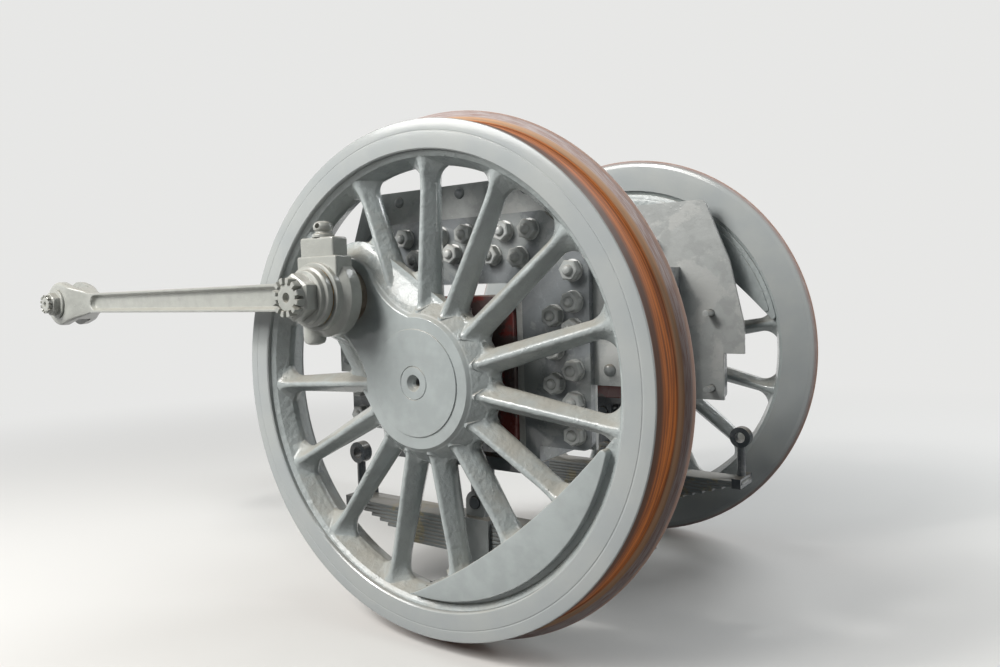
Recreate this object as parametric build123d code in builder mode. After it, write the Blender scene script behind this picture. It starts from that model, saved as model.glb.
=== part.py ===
from build123d import *
import math
import os

# Coupled wheelset of a steam locomotive, with the axleboxes, horn blocks, springs and coupling rods
# that go with it. Millimetres, +Z up, X along the track, Y across it, the left side at low Y.
# The origin is where the axle line crosses the left horn block's seat on the frame.
# "Out" is a distance from the locomotive's centre line, so the left side is at y = SEAT - out.

# Across the locomotive
SEAT = 425.0            # centre line to the frame's outer face
FACE = 625.0            # centre line to the outer face of a tyre

# Tyre
TYRE_WIDTH = 130.0
EDGE_R = 622.5          # outer edge, below the front chamfer
TREAD_R = 627.5         # tread beside the flange root
TREAD_WIDTH = 86.0
FLANGE_R = 658.5
FLANGE_TIP = 16.0       # width of the flange's crest
TYRE_BORE_R = 552.0

# Wheel centre
RIM_WALL = 31.0         # at the middle, where it is thickest
RIM_LIP = 13.0          # wall at the front and back edges
RIM_SLOPE = 9.0         # each lip's fall from the tyre to its inner edge
RIM_RECESS = 11.0       # rim's front below the tyre's face
RIM_WIDTH = 112.0
HUB_R = 160.0
HUB_SWELL_R = 198.0     # hub between the spokes, behind its ring
HUB_SWELL_FRONT = 40.0  # front and back of the swelling, inward from the tyre's face
HUB_SWELL_BACK = 90.0
HUB_PROUD = 1.0         # hub ring beyond the tyre's face
HUB_DISC_R = 131.0
HUB_DISC_PROUD = 4.0    # turned disc in the middle beyond the tyre's face
HUB_BACK = 140.0        # back of the hub, inward from the tyre's face
SPOKES = 15
# Spoke stations: radius, width round the wheel, depth along the axle
SPOKE_STATIONS = [
    (140.0, 88.0, 108.0),
    (188.0, 60.0, 92.0),
    (478.0, 44.0, 66.0),
    (541.0, 78.0, 84.0),
]
SPOKE_NOSE_R = 11.0     # rounding of a spoke's front and back ridges
SPOKE_MIDDLE = 62.0     # middle of a spoke, inward from the tyre's face

# Crank
CRANK_THROW = 305.0
CRANK_ANGLE = 135.5     # left crank, degrees up from +X
WEB_ROOT_R = 156.0      # front of the web, waisted between the hub and the crank pin
WEB_WAIST_R = 192.0     # radius of the hollow arcs of the waist
WEB_BOSS_R = 100.0
WEB_FOOT_R = 190.0      # foot of the web's sloping flank, at the hub and at the crank pin
WEB_BOSS_FOOT_R = 138.0
WEB_SLOPE = 38.0        # depth of the flank
WEB_DEPTH = 58.0
BOSS_R = 96.0           # boss behind the web, round the crank pin's seat
BOSS_DEPTH = 112.0

# Balance weight
WEIGHT_ANGLE = -52.0
WEIGHT_INNER = 426.0    # axle line to the middle of the inner edge
WEIGHT_EDGE_R = 1750.0  # radius of the inner edge
WEIGHT_OUTER_R = 526.0
WEIGHT_DEPTH = 122.0
WEIGHT_NOSE_R = 9.0     # rounding of the blunt upper end

# Axle
SEAT_R = 105.0          # wheel seats
JOURNAL_R = 95.0
JOURNAL_END = 250.0     # inner end of the journals, out from the centre line
AXLE_R = 88.0
CENTRE_HOLE_R = 12.0
CENTRE_HOLE_DEPTH = 30.0

# Crank pin, each length stacked out from the wheel
PIN_SEAT_R = 62.0
PIN_COLLAR_R = 72.0
PIN_COLLAR = 42.0
PIN_R = 57.5
PIN_THREAD_R = 32.0
PIN_NUT_MARGIN = 5.0    # crown of the nut beyond the pin's end
PIN_SIDE_PLAY = 3.0
WASHER_R = 74.0
WASHER = 30.0
NUT_ACROSS = 100.0
NUT_HEX = 34.0
NUT_CROWN_R = 47.0
NUT_CROWN = 22.0
NUT_SLOTS = 6           # cuts right across the crown, twice as many notches
NUT_SLOT = 9.0

# Coupling rod
ROD_LENGTH = 1282.0     # crank pin to knuckle pin
BUSH_LENGTH = 66.0
BUSH_WALL = 14.5
BIG_END_R = 100.0
BIG_END_THICK = 47.0
BIG_END_BEVEL = 12.0
BIG_END_BOSS_R = 84.0
BEAM_THICK = 42.0
BEAM_TALL_BIG = 72.0
BEAM_TALL_SMALL = 64.0
FLUTE_DEPTH = 14.0
FLUTE_EDGE = 9.0
FORK_R = 73.5
FORK_THICK = 100.0
FORK_GAP = 44.0
FORK_FLARE = 155.0      # knuckle pin to the start of the flare
OIL_BASE_HALF = 70.0
OIL_BASE_TOP = 99.0
OIL_BOX_HALF = 59.0
OIL_BOX_TOP = 145.0
OIL_BOX_THICK = 54.0
PLUG_R = 26.0
PLUG_BACK = 44.0        # plug's axis behind the crank pin, towards the beam
PLUG_DROP = 121.0       # plug's foot below the crank pin
CAP_NECK_R = 23.0
CAP_NECK = 12.0
CAP_BALL_R = 29.0
CAP_TALL = 26.0

# Knuckle pin
KNUCKLE_R = 24.0
KNUCKLE_HEAD_R = 36.0
KNUCKLE_HEAD = 9.0
KNUCKLE_WASHER_R = 48.0
KNUCKLE_WASHER = 7.0
KNUCKLE_ACROSS = 66.0
KNUCKLE_HEX = 22.0
KNUCKLE_CROWN_R = 31.0
KNUCKLE_CROWN = 14.0

# Horn block, doubling plate and studs
DOUBLER = 12.0
DOUBLER_HALF = 455.0
DOUBLER_TOP_HALF = 330.0
DOUBLER_SPREAD = 80.0   # shoulders wider than the top
DOUBLER_TOP = 490.0
DOUBLER_SHOULDER = 290.0
DOUBLER_TONGUE = 85.0   # top of the side tongues
DOUBLER_FOOT = -8.0
FLANGE = 20.0
FLANGE_HALF = 388.0
FLANGE_TOP = 402.0
FLANGE_TOP_HALF = 270.0
FLANGE_KNEE = 300.0
FLANGE_FOOT = -160.0
HORN_HALF = 205.0       # half the opening between the guide faces
HORN_TOP = 235.0
CHEEK = 40.0
CHEEK_IN = 285.0        # inner end of the cheeks, out from the centre line
LEG_FOOT = -200.0
STUD_R = 11.0
STUD_R_RIGHT = 11.2     # fitted studs, turned to the reamed holes of their own side
STUD_HOLE_R = 12.5
STUD_INSET = 40.0       # side studs in from the flange's edge
STUD_Z = 122.5
STUD_TOP_X = 160.0
STUD_TOP_INSET = 42.0   # top studs below the flange's top
STUD_REACH = 50.0       # beyond the seat, through the frame
STUD_NUT_ACROSS = 44.0
STUD_NUT = 24.0
STUD_TIP = 5.0

# Axlebox and what fits in it
FIT = 0.3               # between faces that slide past each other
LINER = 18.0
LINER_TOP = 215.0
LINER_FOOT = -190.0
BOX_IN = 262.0          # inner face of the axlebox, out from the centre line
BOX_OUT = 468.0
BOX_TOP = 205.0
BOX_FOOT = -150.0
BOX_CROWN = 60.0        # corner radius of the top
BRASS_WALL = 33.0
BRASS_INSET = 6.0
OIL_FILM = 0.05
KEEP_GAP = 5.0
SADDLE = 28.0
SADDLE_HALF = 50.0
HORNSTAY = 35.0
HORNSTAY_IN = 414.0
HORNSTAY_OUT = 454.0

# Spring gear, under the middle of the axlebox
LEAF = 10.5
LEAVES = 9
LEAF_WIDTH = 90.0
LEAF_HALF = 478.0       # half the length of the top leaf
LEAF_STEP = 32.0        # each leaf shorter at each end
SPRING_TOP = -394.0
BUCKLE_HALF = 55.0
BUCKLE_WALL = 11.0
LINK_R = 31.0
LINK_THICK = 36.0
LUG = 20.0
LINK_PIN_R = 17.0
LINK_TOP = -207.0
LINK_FOOT = -345.0
HANGER_X = 462.0
HANGER_EYE_Z = -262.0
HANGER_EYE_R = 32.0
HANGER_BORE_R = 16.0
HANGER_THICK = 30.0
HANGER_ROD_R = 13.0
HANGER_CLIP = 14.0      # half the clip's length along the leaf
HANGER_WALL = 10.0

# Places that follow from the sizes
RIM_OUT_R = TYRE_BORE_R
RIM_IN_R = TYRE_BORE_R - RIM_WALL
TYRE_BACK = FACE - TYRE_WIDTH
RIM_FRONT = FACE - RIM_RECESS
RIM_BACK = RIM_FRONT - RIM_WIDTH
PIN_X = CRANK_THROW * math.cos(math.radians(CRANK_ANGLE))
PIN_Z = CRANK_THROW * math.sin(math.radians(CRANK_ANGLE))
ROD_BACK = FACE + PIN_COLLAR + PIN_SIDE_PLAY
ROD_FRONT = ROD_BACK + BUSH_LENGTH
ROD_MIDDLE = ROD_BACK + BIG_END_THICK / 2
WASHER_BACK = ROD_FRONT + PIN_SIDE_PLAY
NUT_BACK = WASHER_BACK + WASHER
CROWN_BACK = NUT_BACK + NUT_HEX
PIN_END = CROWN_BACK + NUT_CROWN - PIN_NUT_MARGIN
KNUCKLE_X = PIN_X - ROD_LENGTH
FORK_BACK = ROD_MIDDLE - FORK_THICK / 2
FORK_FRONT = ROD_MIDDLE + FORK_THICK / 2
FLANGE_BACK = SEAT + DOUBLER
FLANGE_OUT = FLANGE_BACK + FLANGE
BOX_HALF = HORN_HALF - LINER - FIT
BOX_MIDDLE = (BOX_IN + BOX_OUT) / 2
BRASS_R = JOURNAL_R + OIL_FILM
BRASS_OUT_R = BRASS_R + BRASS_WALL
SPRING_FOOT = SPRING_TOP - LEAVES * LEAF
SADDLE_FOOT = BOX_FOOT - SADDLE
BUCKLE_TOP = SPRING_TOP + BUCKLE_WALL
BUCKLE_FOOT = SPRING_FOOT - BUCKLE_WALL

MIDDLE = Plane.XZ.offset(-SEAT)
# The right wheel and crank are the left ones turned end for end about this line, which puts the
# right crank a quarter turn on
TURN = Axis((0, SEAT, 0), (math.cos(math.radians(CRANK_ANGLE + 45)), 0, math.sin(math.radians(CRANK_ANGLE + 45))))
RIGHT_X = CRANK_THROW * math.cos(math.radians(CRANK_ANGLE + 90))
RIGHT_Z = CRANK_THROW * math.sin(math.radians(CRANK_ANGLE + 90))
AXLE_LINE = Axis((0, 0, 0), (0, 1, 0))


def out(distance):
    """Plane across the left side at a distance out from the centre line, facing outward."""
    return Plane.XZ.offset(distance - SEAT)


def section(x=0.0, z=0.0):
    """Plane whose x is a radius from the line through (x, z) and whose y is the distance out."""
    return Plane(origin=(x, SEAT, z), x_dir=(1, 0, 0), z_dir=(0, 0, -1))


def line_at(x, z):
    return Axis((x, 0, z), (0, 1, 0))


def turned(points, x=0.0, z=0.0):
    """Solid of revolution from (radius, out) points about the line through (x, z)."""
    with BuildPart() as piece:
        with BuildSketch(section(x, z)):
            with BuildLine():
                Polyline(*points, close=True)
            make_face()
        revolve(axis=line_at(x, z))
    return piece.part


def block(x0, x1, out0, out1, z0, z1):
    """Box between two x, two distances out and two z."""
    with BuildPart() as piece:
        with BuildSketch(out(out0)):
            with Locations(((x0 + x1) / 2, (z0 + z1) / 2)):
                Rectangle(x1 - x0, z1 - z0)
        extrude(amount=out1 - out0)
    return piece.part


def spoke():
    """One spoke along +X, lens-shaped with rounded ridges, flared into the hub and the rim."""
    with BuildPart() as piece:
        for radius, width, depth in SPOKE_STATIONS:
            station = Plane(origin=(radius, SEAT - FACE + SPOKE_MIDDLE, 0), x_dir=(0, 0, 1), z_dir=(1, 0, 0))
            nose = depth / 2 - SPOKE_NOSE_R
            with BuildSketch(station):
                Circle(width / 2)
                with Locations((0, nose), (0, -nose)):
                    Circle(SPOKE_NOSE_R)
                make_hull()
        loft(ruled=True)
    return piece.part


def on_crank(along, aside):
    """(x, z) at a distance along the left crank and a distance to its left."""
    turn = math.radians(CRANK_ANGLE)
    return (along * math.cos(turn) - aside * math.sin(turn), along * math.sin(turn) + aside * math.cos(turn))


def web_outline(hub_r, boss_r, hub_turn, boss_turn, waist=None):
    """Arcs about the hub and the crank pin, joined by straight lines or by arcs that come in to the waist."""
    hub_end = (hub_r * math.cos(hub_turn), hub_r * math.sin(hub_turn))
    boss_end = (CRANK_THROW + boss_r * math.cos(boss_turn), boss_r * math.sin(boss_turn))
    with BuildLine() as outline:
        ThreePointArc(on_crank(hub_end[0], hub_end[1]), on_crank(-hub_r, 0), on_crank(hub_end[0], -hub_end[1]))
        if waist:
            ThreePointArc(on_crank(hub_end[0], -hub_end[1]), on_crank(waist_x, -waist), on_crank(boss_end[0], -boss_end[1]))
        else:
            Line(on_crank(hub_end[0], -hub_end[1]), on_crank(boss_end[0], -boss_end[1]))
        ThreePointArc(on_crank(boss_end[0], -boss_end[1]), on_crank(CRANK_THROW + boss_r, 0),
                      on_crank(boss_end[0], boss_end[1]))
        if waist:
            ThreePointArc(on_crank(boss_end[0], boss_end[1]), on_crank(waist_x, waist), on_crank(hub_end[0], hub_end[1]))
        else:
            Line(on_crank(boss_end[0], boss_end[1]), on_crank(hub_end[0], hub_end[1]))
    return outline.line


def castle_nut(back, across, tall, crown_r, crown, bore_r, slot, x, z):
    """Hexagon nut with a notched crown, its face out."""
    with BuildPart() as nut:
        with BuildSketch(out(back)):
            with Locations((x, z)):
                RegularPolygon(across / 2, 6, major_radius=False, rotation=30)
        extrude(amount=tall)
        with BuildSketch(out(back + tall)):
            with Locations((x, z)):
                Circle(crown_r)
        extrude(amount=crown)
        with BuildSketch(out(back + tall + crown)):
            for turn in range(NUT_SLOTS):
                with Locations((x, z)):
                    Rectangle(2 * crown_r + 2, slot, rotation=turn * 180 / NUT_SLOTS)
        extrude(amount=-crown * 0.75, mode=Mode.SUBTRACT)
        with BuildSketch(out(back)):
            with Locations((x, z)):
                Circle(bore_r)
        extrude(amount=tall + crown, mode=Mode.SUBTRACT)
    return nut.part


# Axle, with both journals and wheel seats
with BuildPart() as axle:
    seat_end = FACE + HUB_DISC_PROUD
    hub_back = FACE - HUB_BACK
    with BuildSketch(section()):
        with BuildLine():
            Polyline(
                (0, -seat_end), (SEAT_R - 4, -seat_end), (SEAT_R, -seat_end + 4),
                (SEAT_R, -hub_back), (JOURNAL_R, -hub_back + 8), (JOURNAL_R, -JOURNAL_END),
                (AXLE_R, -JOURNAL_END + 14), (AXLE_R, JOURNAL_END - 14), (JOURNAL_R, JOURNAL_END),
                (JOURNAL_R, hub_back - 8), (SEAT_R, hub_back), (SEAT_R, seat_end - 4),
                (SEAT_R - 4, seat_end), (0, seat_end), close=True)
        make_face()
    revolve(axis=AXLE_LINE)
    for end in (out(seat_end), out(-seat_end)):
        inward = -CENTRE_HOLE_DEPTH if end.origin.Y < 0 else CENTRE_HOLE_DEPTH
        with BuildSketch(end):
            Circle(CENTRE_HOLE_R)
        extrude(amount=inward, mode=Mode.SUBTRACT)
axle.part.label = "axle"

# Wheel centre: rim, hub, spokes, crank web and balance weight, cast in one
rim = turned([
    (RIM_OUT_R, RIM_BACK), (RIM_OUT_R, RIM_FRONT), (RIM_OUT_R - RIM_LIP, RIM_FRONT - RIM_SLOPE),
    (RIM_IN_R, FACE - SPOKE_MIDDLE + 10), (RIM_IN_R, FACE - SPOKE_MIDDLE - 10),
    (RIM_OUT_R - RIM_LIP, RIM_BACK + RIM_SLOPE)])
hub = turned([
    (SEAT_R, FACE - HUB_BACK), (HUB_R - 6, FACE - HUB_BACK), (HUB_R, FACE - HUB_BACK + 14),
    (HUB_SWELL_R, FACE - HUB_SWELL_BACK), (HUB_SWELL_R, FACE - HUB_SWELL_FRONT), (HUB_R, FACE - 4),
    (HUB_R, FACE + HUB_PROUD - 3), (HUB_R - 3, FACE + HUB_PROUD), (HUB_DISC_R + 3, FACE + HUB_PROUD),
    (HUB_DISC_R, FACE + HUB_DISC_PROUD), (SEAT_R, FACE + HUB_DISC_PROUD)])
waist_to_hub = WEB_ROOT_R + WEB_WAIST_R
waist_to_pin = WEB_BOSS_R + WEB_WAIST_R
waist_x = (waist_to_hub ** 2 + CRANK_THROW ** 2 - waist_to_pin ** 2) / (2 * CRANK_THROW)
waist_y = math.sqrt(waist_to_hub ** 2 - waist_x ** 2)
foot_lean = math.asin((WEB_FOOT_R - WEB_BOSS_FOOT_R) / CRANK_THROW)
with BuildPart() as web:
    with BuildSketch(out(FACE)):
        with BuildLine():
            add(web_outline(WEB_ROOT_R, WEB_BOSS_R, math.atan2(waist_y, waist_x),
                            math.atan2(waist_y, waist_x - CRANK_THROW), waist_y - WEB_WAIST_R))
        make_face()
    with BuildSketch(out(FACE - WEB_SLOPE)):
        with BuildLine():
            add(web_outline(WEB_FOOT_R, WEB_BOSS_FOOT_R, math.pi / 2 - foot_lean, math.pi / 2 - foot_lean))
        make_face()
    loft(ruled=True)
    extrude(web.faces().sort_by(Axis.Y)[-1], amount=WEB_DEPTH - WEB_SLOPE)
one_spoke = spoke()
with BuildPart() as wheel_centre_left:
    add(rim)
    add([one_spoke.rotate(AXLE_LINE, -CRANK_ANGLE + i * 360 / SPOKES) for i in range(SPOKES)])
    add(web.part)
    with BuildSketch(out(FACE)):
        with Locations((PIN_X, PIN_Z)):
            Circle(BOSS_R)
    extrude(amount=-BOSS_DEPTH)
    towards = (math.cos(math.radians(WEIGHT_ANGLE)), math.sin(math.radians(WEIGHT_ANGLE)))
    with BuildSketch(out(FACE)) as weight:
        Circle(WEIGHT_OUTER_R)
        with Locations((towards[0] * (WEIGHT_INNER - WEIGHT_EDGE_R), towards[1] * (WEIGHT_INNER - WEIGHT_EDGE_R))):
            Circle(WEIGHT_EDGE_R, mode=Mode.SUBTRACT)
        fillet(weight.vertices().sort_by(Axis.Y)[-1], WEIGHT_NOSE_R)
    extrude(amount=-WEIGHT_DEPTH)
    with BuildSketch(out(FACE)):
        Circle(HUB_R - 5)
    extrude(amount=-HUB_BACK, mode=Mode.SUBTRACT)
    add(hub)
    with BuildSketch(out(FACE)):
        with Locations((PIN_X, PIN_Z)):
            Circle(PIN_SEAT_R)
    extrude(amount=-BOSS_DEPTH, mode=Mode.SUBTRACT)
wheel_centre_left.part.label = "wheel_centre_left"
with BuildPart() as wheel_centre_right:
    add(wheel_centre_left.part.rotate(TURN, 180))
wheel_centre_right.part.label = "wheel_centre_right"

# Tyre, shrunk on the rim
tread_end = FACE - TREAD_WIDTH
crest_front = TYRE_BACK + 12 + FLANGE_TIP / 2
with BuildPart() as tyre_left:
    with BuildSketch(section()):
        with BuildLine():
            lip = Polyline((TYRE_BORE_R, TYRE_BACK), (TYRE_BORE_R, FACE), (EDGE_R - 4, FACE), (EDGE_R, FACE - 4),
                           (TREAD_R, tread_end))
            root = Line(lip @ 1, (FLANGE_R - 11, crest_front + 9))
            Polyline(root @ 1, (FLANGE_R - 2, crest_front + 4), (FLANGE_R, crest_front - 2), (FLANGE_R - 2, TYRE_BACK + 6),
                     (FLANGE_R - 16, TYRE_BACK), (TYRE_BORE_R, TYRE_BACK))
        make_face()
    revolve(axis=AXLE_LINE)
tyre_left.part.label = "tyre_left"
with BuildPart() as tyre_right:
    mirror(tyre_left.part, about=MIDDLE)
tyre_right.part.label = "tyre_right"

# Crank pin, pressed in the web, with a collar that the rod runs against
with BuildPart() as crank_pin_left:
    add(turned([
        (0, FACE - BOSS_DEPTH), (PIN_SEAT_R, FACE - BOSS_DEPTH), (PIN_SEAT_R, FACE), (PIN_COLLAR_R, FACE),
        (PIN_COLLAR_R, FACE + PIN_COLLAR - 3), (PIN_COLLAR_R - 3, FACE + PIN_COLLAR), (PIN_R, FACE + PIN_COLLAR),
        (PIN_R, WASHER_BACK), (PIN_THREAD_R, WASHER_BACK), (PIN_THREAD_R, PIN_END - 2),
        (PIN_THREAD_R - 2, PIN_END), (0, PIN_END)], PIN_X, PIN_Z))
    with BuildSketch(out(PIN_END)):
        with Locations((PIN_X, PIN_Z)):
            Circle(CENTRE_HOLE_R)
    extrude(amount=-CENTRE_HOLE_DEPTH, mode=Mode.SUBTRACT)
crank_pin_left.part.label = "crank_pin_left"
with BuildPart() as crank_pin_right:
    add(crank_pin_left.part.rotate(TURN, 180))
crank_pin_right.part.label = "crank_pin_right"

with BuildPart() as crank_nut_left:
    add(turned([
        (PIN_THREAD_R, WASHER_BACK), (WASHER_R, WASHER_BACK), (WASHER_R, NUT_BACK - 3), (WASHER_R - 3, NUT_BACK),
        (PIN_THREAD_R, NUT_BACK)], PIN_X, PIN_Z))
    add(castle_nut(NUT_BACK, NUT_ACROSS, NUT_HEX, NUT_CROWN_R, NUT_CROWN, PIN_THREAD_R, NUT_SLOT, PIN_X, PIN_Z))
crank_nut_left.part.label = "crank_nut_left"
with BuildPart() as crank_nut_right:
    add(crank_nut_left.part.rotate(TURN, 180))
crank_nut_right.part.label = "crank_nut_right"

# Coupling rod: round big end with its oil box, fluted beam and forked knuckle end
bush_r = PIN_R + OIL_FILM + BUSH_WALL
beam_start = PIN_X - BIG_END_R * 0.8
flare_x = KNUCKLE_X + FORK_FLARE
beam_back = ROD_MIDDLE - BEAM_THICK / 2
beam_front = ROD_MIDDLE + BEAM_THICK / 2
with BuildPart() as fork:
    with BuildSketch(out(FORK_BACK)):
        with Locations((KNUCKLE_X, PIN_Z)):
            Circle(FORK_R)
        with Locations((flare_x, PIN_Z)):
            Rectangle(2, BEAM_TALL_SMALL)
        make_hull()
    extrude(amount=FORK_THICK)
    with BuildSketch(Plane.XY.offset(PIN_Z - FORK_R)):
        with BuildLine():
            Polyline(
                (KNUCKLE_X - FORK_R - 1, SEAT - FORK_BACK), (KNUCKLE_X - FORK_R - 1, SEAT - FORK_FRONT),
                (KNUCKLE_X + FORK_R, SEAT - FORK_FRONT), (flare_x, SEAT - beam_front),
                (flare_x, SEAT - beam_back), (KNUCKLE_X + FORK_R, SEAT - FORK_BACK), close=True)
        make_face()
    extrude(amount=2 * FORK_R, mode=Mode.INTERSECT)
with BuildPart() as coupling_rod_left:
    with BuildSketch(out(ROD_BACK)):
        with Locations((PIN_X, PIN_Z)):
            Circle(BIG_END_R)
    extrude(amount=BIG_END_THICK)
    chamfer(coupling_rod_left.faces().sort_by(Axis.Y)[0].edges(), BIG_END_BEVEL)
    with BuildSketch(out(ROD_BACK)):
        with Locations((PIN_X, PIN_Z)):
            Circle(BIG_END_BOSS_R)
    extrude(amount=BUSH_LENGTH)
    add(block(PIN_X - OIL_BASE_HALF, PIN_X + OIL_BASE_HALF, ROD_BACK + 1, ROD_BACK + OIL_BOX_THICK,
              PIN_Z + 40, PIN_Z + OIL_BASE_TOP))
    add(block(PIN_X - OIL_BOX_HALF, PIN_X + OIL_BOX_HALF, ROD_BACK + 2, ROD_BACK + OIL_BOX_THICK - 2,
              PIN_Z + OIL_BASE_TOP, PIN_Z + OIL_BOX_TOP))
    plug_plane = Plane(origin=(PIN_X - PLUG_BACK, SEAT - ROD_MIDDLE, PIN_Z - PLUG_DROP), x_dir=(1, 0, 0), z_dir=(0, 0, 1))
    with BuildSketch(plug_plane):
        Circle(min(PLUG_R, BIG_END_THICK / 2 + 2))
    extrude(amount=PLUG_DROP - 60)
    with BuildSketch(out(beam_back)):
        with BuildLine():
            Polyline((beam_start, PIN_Z - BEAM_TALL_BIG / 2), (beam_start, PIN_Z + BEAM_TALL_BIG / 2),
                     (flare_x, PIN_Z + BEAM_TALL_SMALL / 2), (flare_x, PIN_Z - BEAM_TALL_SMALL / 2), close=True)
        make_face()
    extrude(amount=BEAM_THICK)
    add(fork.part)
    flute_from = PIN_X - BIG_END_R - 14
    flute_to = flare_x - 4
    flute_tall = BEAM_TALL_SMALL - 2 * FLUTE_EDGE
    for face_out, inward in ((beam_front, -FLUTE_DEPTH), (beam_back, FLUTE_DEPTH)):
        with BuildSketch(out(face_out)):
            with Locations(((flute_from + flute_to) / 2, PIN_Z)):
                SlotOverall(flute_from - flute_to, flute_tall)
        extrude(amount=inward, mode=Mode.SUBTRACT)
    add(block(KNUCKLE_X - FORK_R - 1, KNUCKLE_X + FORK_R + 6, ROD_MIDDLE - FORK_GAP / 2, ROD_MIDDLE + FORK_GAP / 2,
              PIN_Z - FORK_R - 1, PIN_Z + FORK_R + 1), mode=Mode.SUBTRACT)
    with BuildSketch(out(FORK_BACK)):
        with Locations((KNUCKLE_X, PIN_Z)):
            Circle(KNUCKLE_R)
    extrude(amount=FORK_THICK, mode=Mode.SUBTRACT)
    with BuildSketch(out(ROD_BACK)):
        with Locations((PIN_X, PIN_Z)):
            Circle(bush_r)
    extrude(amount=BUSH_LENGTH, mode=Mode.SUBTRACT)
coupling_rod_left.part.label = "coupling_rod_left"


def to_right_rod(piece):
    """The same piece of the right rod: mirrored over the centre line and moved to the right crank."""
    with BuildPart() as other:
        mirror(piece, about=MIDDLE)
    return other.part.moved(Location((RIGHT_X - PIN_X, 0, RIGHT_Z - PIN_Z)))


with BuildPart() as coupling_rod_right:
    add(to_right_rod(coupling_rod_left.part))
coupling_rod_right.part.label = "coupling_rod_right"

with BuildPart() as rod_bush_left:
    add(turned([(PIN_R + OIL_FILM, ROD_BACK), (bush_r, ROD_BACK), (bush_r, ROD_FRONT), (PIN_R + OIL_FILM, ROD_FRONT)],
               PIN_X, PIN_Z))
rod_bush_left.part.label = "rod_bush_left"
with BuildPart() as rod_bush_right:
    add(to_right_rod(rod_bush_left.part))
rod_bush_right.part.label = "rod_bush_right"

with BuildPart() as oil_cap_left:
    cap_foot = PIN_Z + OIL_BOX_TOP
    cap_plane = Plane(origin=(PIN_X, SEAT - ROD_BACK - OIL_BOX_THICK / 2, cap_foot), x_dir=(1, 0, 0), z_dir=(0, 0, 1))
    with BuildSketch(Plane(origin=cap_plane.origin, x_dir=(1, 0, 0), z_dir=(0, -1, 0))):
        with BuildLine():
            Polyline((0, 0), (CAP_NECK_R, 0), (CAP_NECK_R, CAP_NECK), (CAP_BALL_R, CAP_NECK + CAP_TALL * 0.3),
                     (CAP_BALL_R, CAP_NECK + CAP_TALL * 0.6), (CAP_BALL_R * 0.7, CAP_NECK + CAP_TALL),
                     (0, CAP_NECK + CAP_TALL), close=True)
        make_face()
    revolve(axis=Axis(cap_plane.origin, (0, 0, 1)))
oil_cap_left.part.label = "oil_cap_left"
with BuildPart() as oil_cap_right:
    add(to_right_rod(oil_cap_left.part))
oil_cap_right.part.label = "oil_cap_right"

# Knuckle pin through the fork, with its washer and castle nut
knuckle_nut_back = FORK_FRONT + KNUCKLE_WASHER
knuckle_end = knuckle_nut_back + KNUCKLE_HEX + KNUCKLE_CROWN - 2
with BuildPart() as knuckle_pin_left:
    add(turned([
        (0, FORK_BACK - KNUCKLE_HEAD), (KNUCKLE_HEAD_R, FORK_BACK - KNUCKLE_HEAD), (KNUCKLE_HEAD_R, FORK_BACK),
        (KNUCKLE_R, FORK_BACK), (KNUCKLE_R, knuckle_end), (0, knuckle_end)], KNUCKLE_X, PIN_Z))
knuckle_pin_left.part.label = "knuckle_pin_left"
with BuildPart() as knuckle_pin_right:
    add(to_right_rod(knuckle_pin_left.part))
knuckle_pin_right.part.label = "knuckle_pin_right"

with BuildPart() as knuckle_nut_left:
    add(turned([(KNUCKLE_R, FORK_FRONT), (KNUCKLE_WASHER_R, FORK_FRONT), (KNUCKLE_WASHER_R, knuckle_nut_back),
                (KNUCKLE_R, knuckle_nut_back)], KNUCKLE_X, PIN_Z))
    add(castle_nut(knuckle_nut_back, KNUCKLE_ACROSS, KNUCKLE_HEX, KNUCKLE_CROWN_R, KNUCKLE_CROWN, KNUCKLE_R, 7.0,
                   KNUCKLE_X, PIN_Z))
knuckle_nut_left.part.label = "knuckle_nut_left"
with BuildPart() as knuckle_nut_right:
    add(to_right_rod(knuckle_nut_left.part))
knuckle_nut_right.part.label = "knuckle_nut_right"

# Horn block: flange on the frame, crown and two cheeks through the frame's opening
stud_x = FLANGE_HALF - STUD_INSET
stud_top_z = FLANGE_TOP - STUD_TOP_INSET
studs_at = [(x, z) for x in (-stud_x, stud_x) for z in (-STUD_Z, STUD_Z)]
studs_at += [(-STUD_TOP_X, stud_top_z), (STUD_TOP_X, stud_top_z)]
with BuildPart() as hornblock_left:
    with BuildSketch(out(FLANGE_BACK)) as flange:
        with BuildLine():
            Polyline((-FLANGE_HALF, FLANGE_FOOT), (-FLANGE_HALF, FLANGE_KNEE), (-FLANGE_TOP_HALF, FLANGE_TOP),
                     (FLANGE_TOP_HALF, FLANGE_TOP), (FLANGE_HALF, FLANGE_KNEE), (FLANGE_HALF, FLANGE_FOOT), close=True)
        make_face()
        fillet(flange.vertices(), 24)
    extrude(amount=FLANGE)
    add(block(-HORN_HALF - CHEEK, HORN_HALF + CHEEK, CHEEK_IN, FLANGE_OUT, LEG_FOOT, HORN_TOP + CHEEK))
    add(block(-HORN_HALF, HORN_HALF, CHEEK_IN, FLANGE_OUT, LEG_FOOT - 1, HORN_TOP), mode=Mode.SUBTRACT)
    with BuildSketch(out(FLANGE_BACK)):
        with Locations(*studs_at):
            Circle(STUD_HOLE_R)
    extrude(amount=FLANGE, mode=Mode.SUBTRACT)
hornblock_left.part.label = "hornblock_left"
with BuildPart() as hornblock_right:
    mirror(hornblock_left.part, about=MIDDLE)
hornblock_right.part.label = "hornblock_right"

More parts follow.
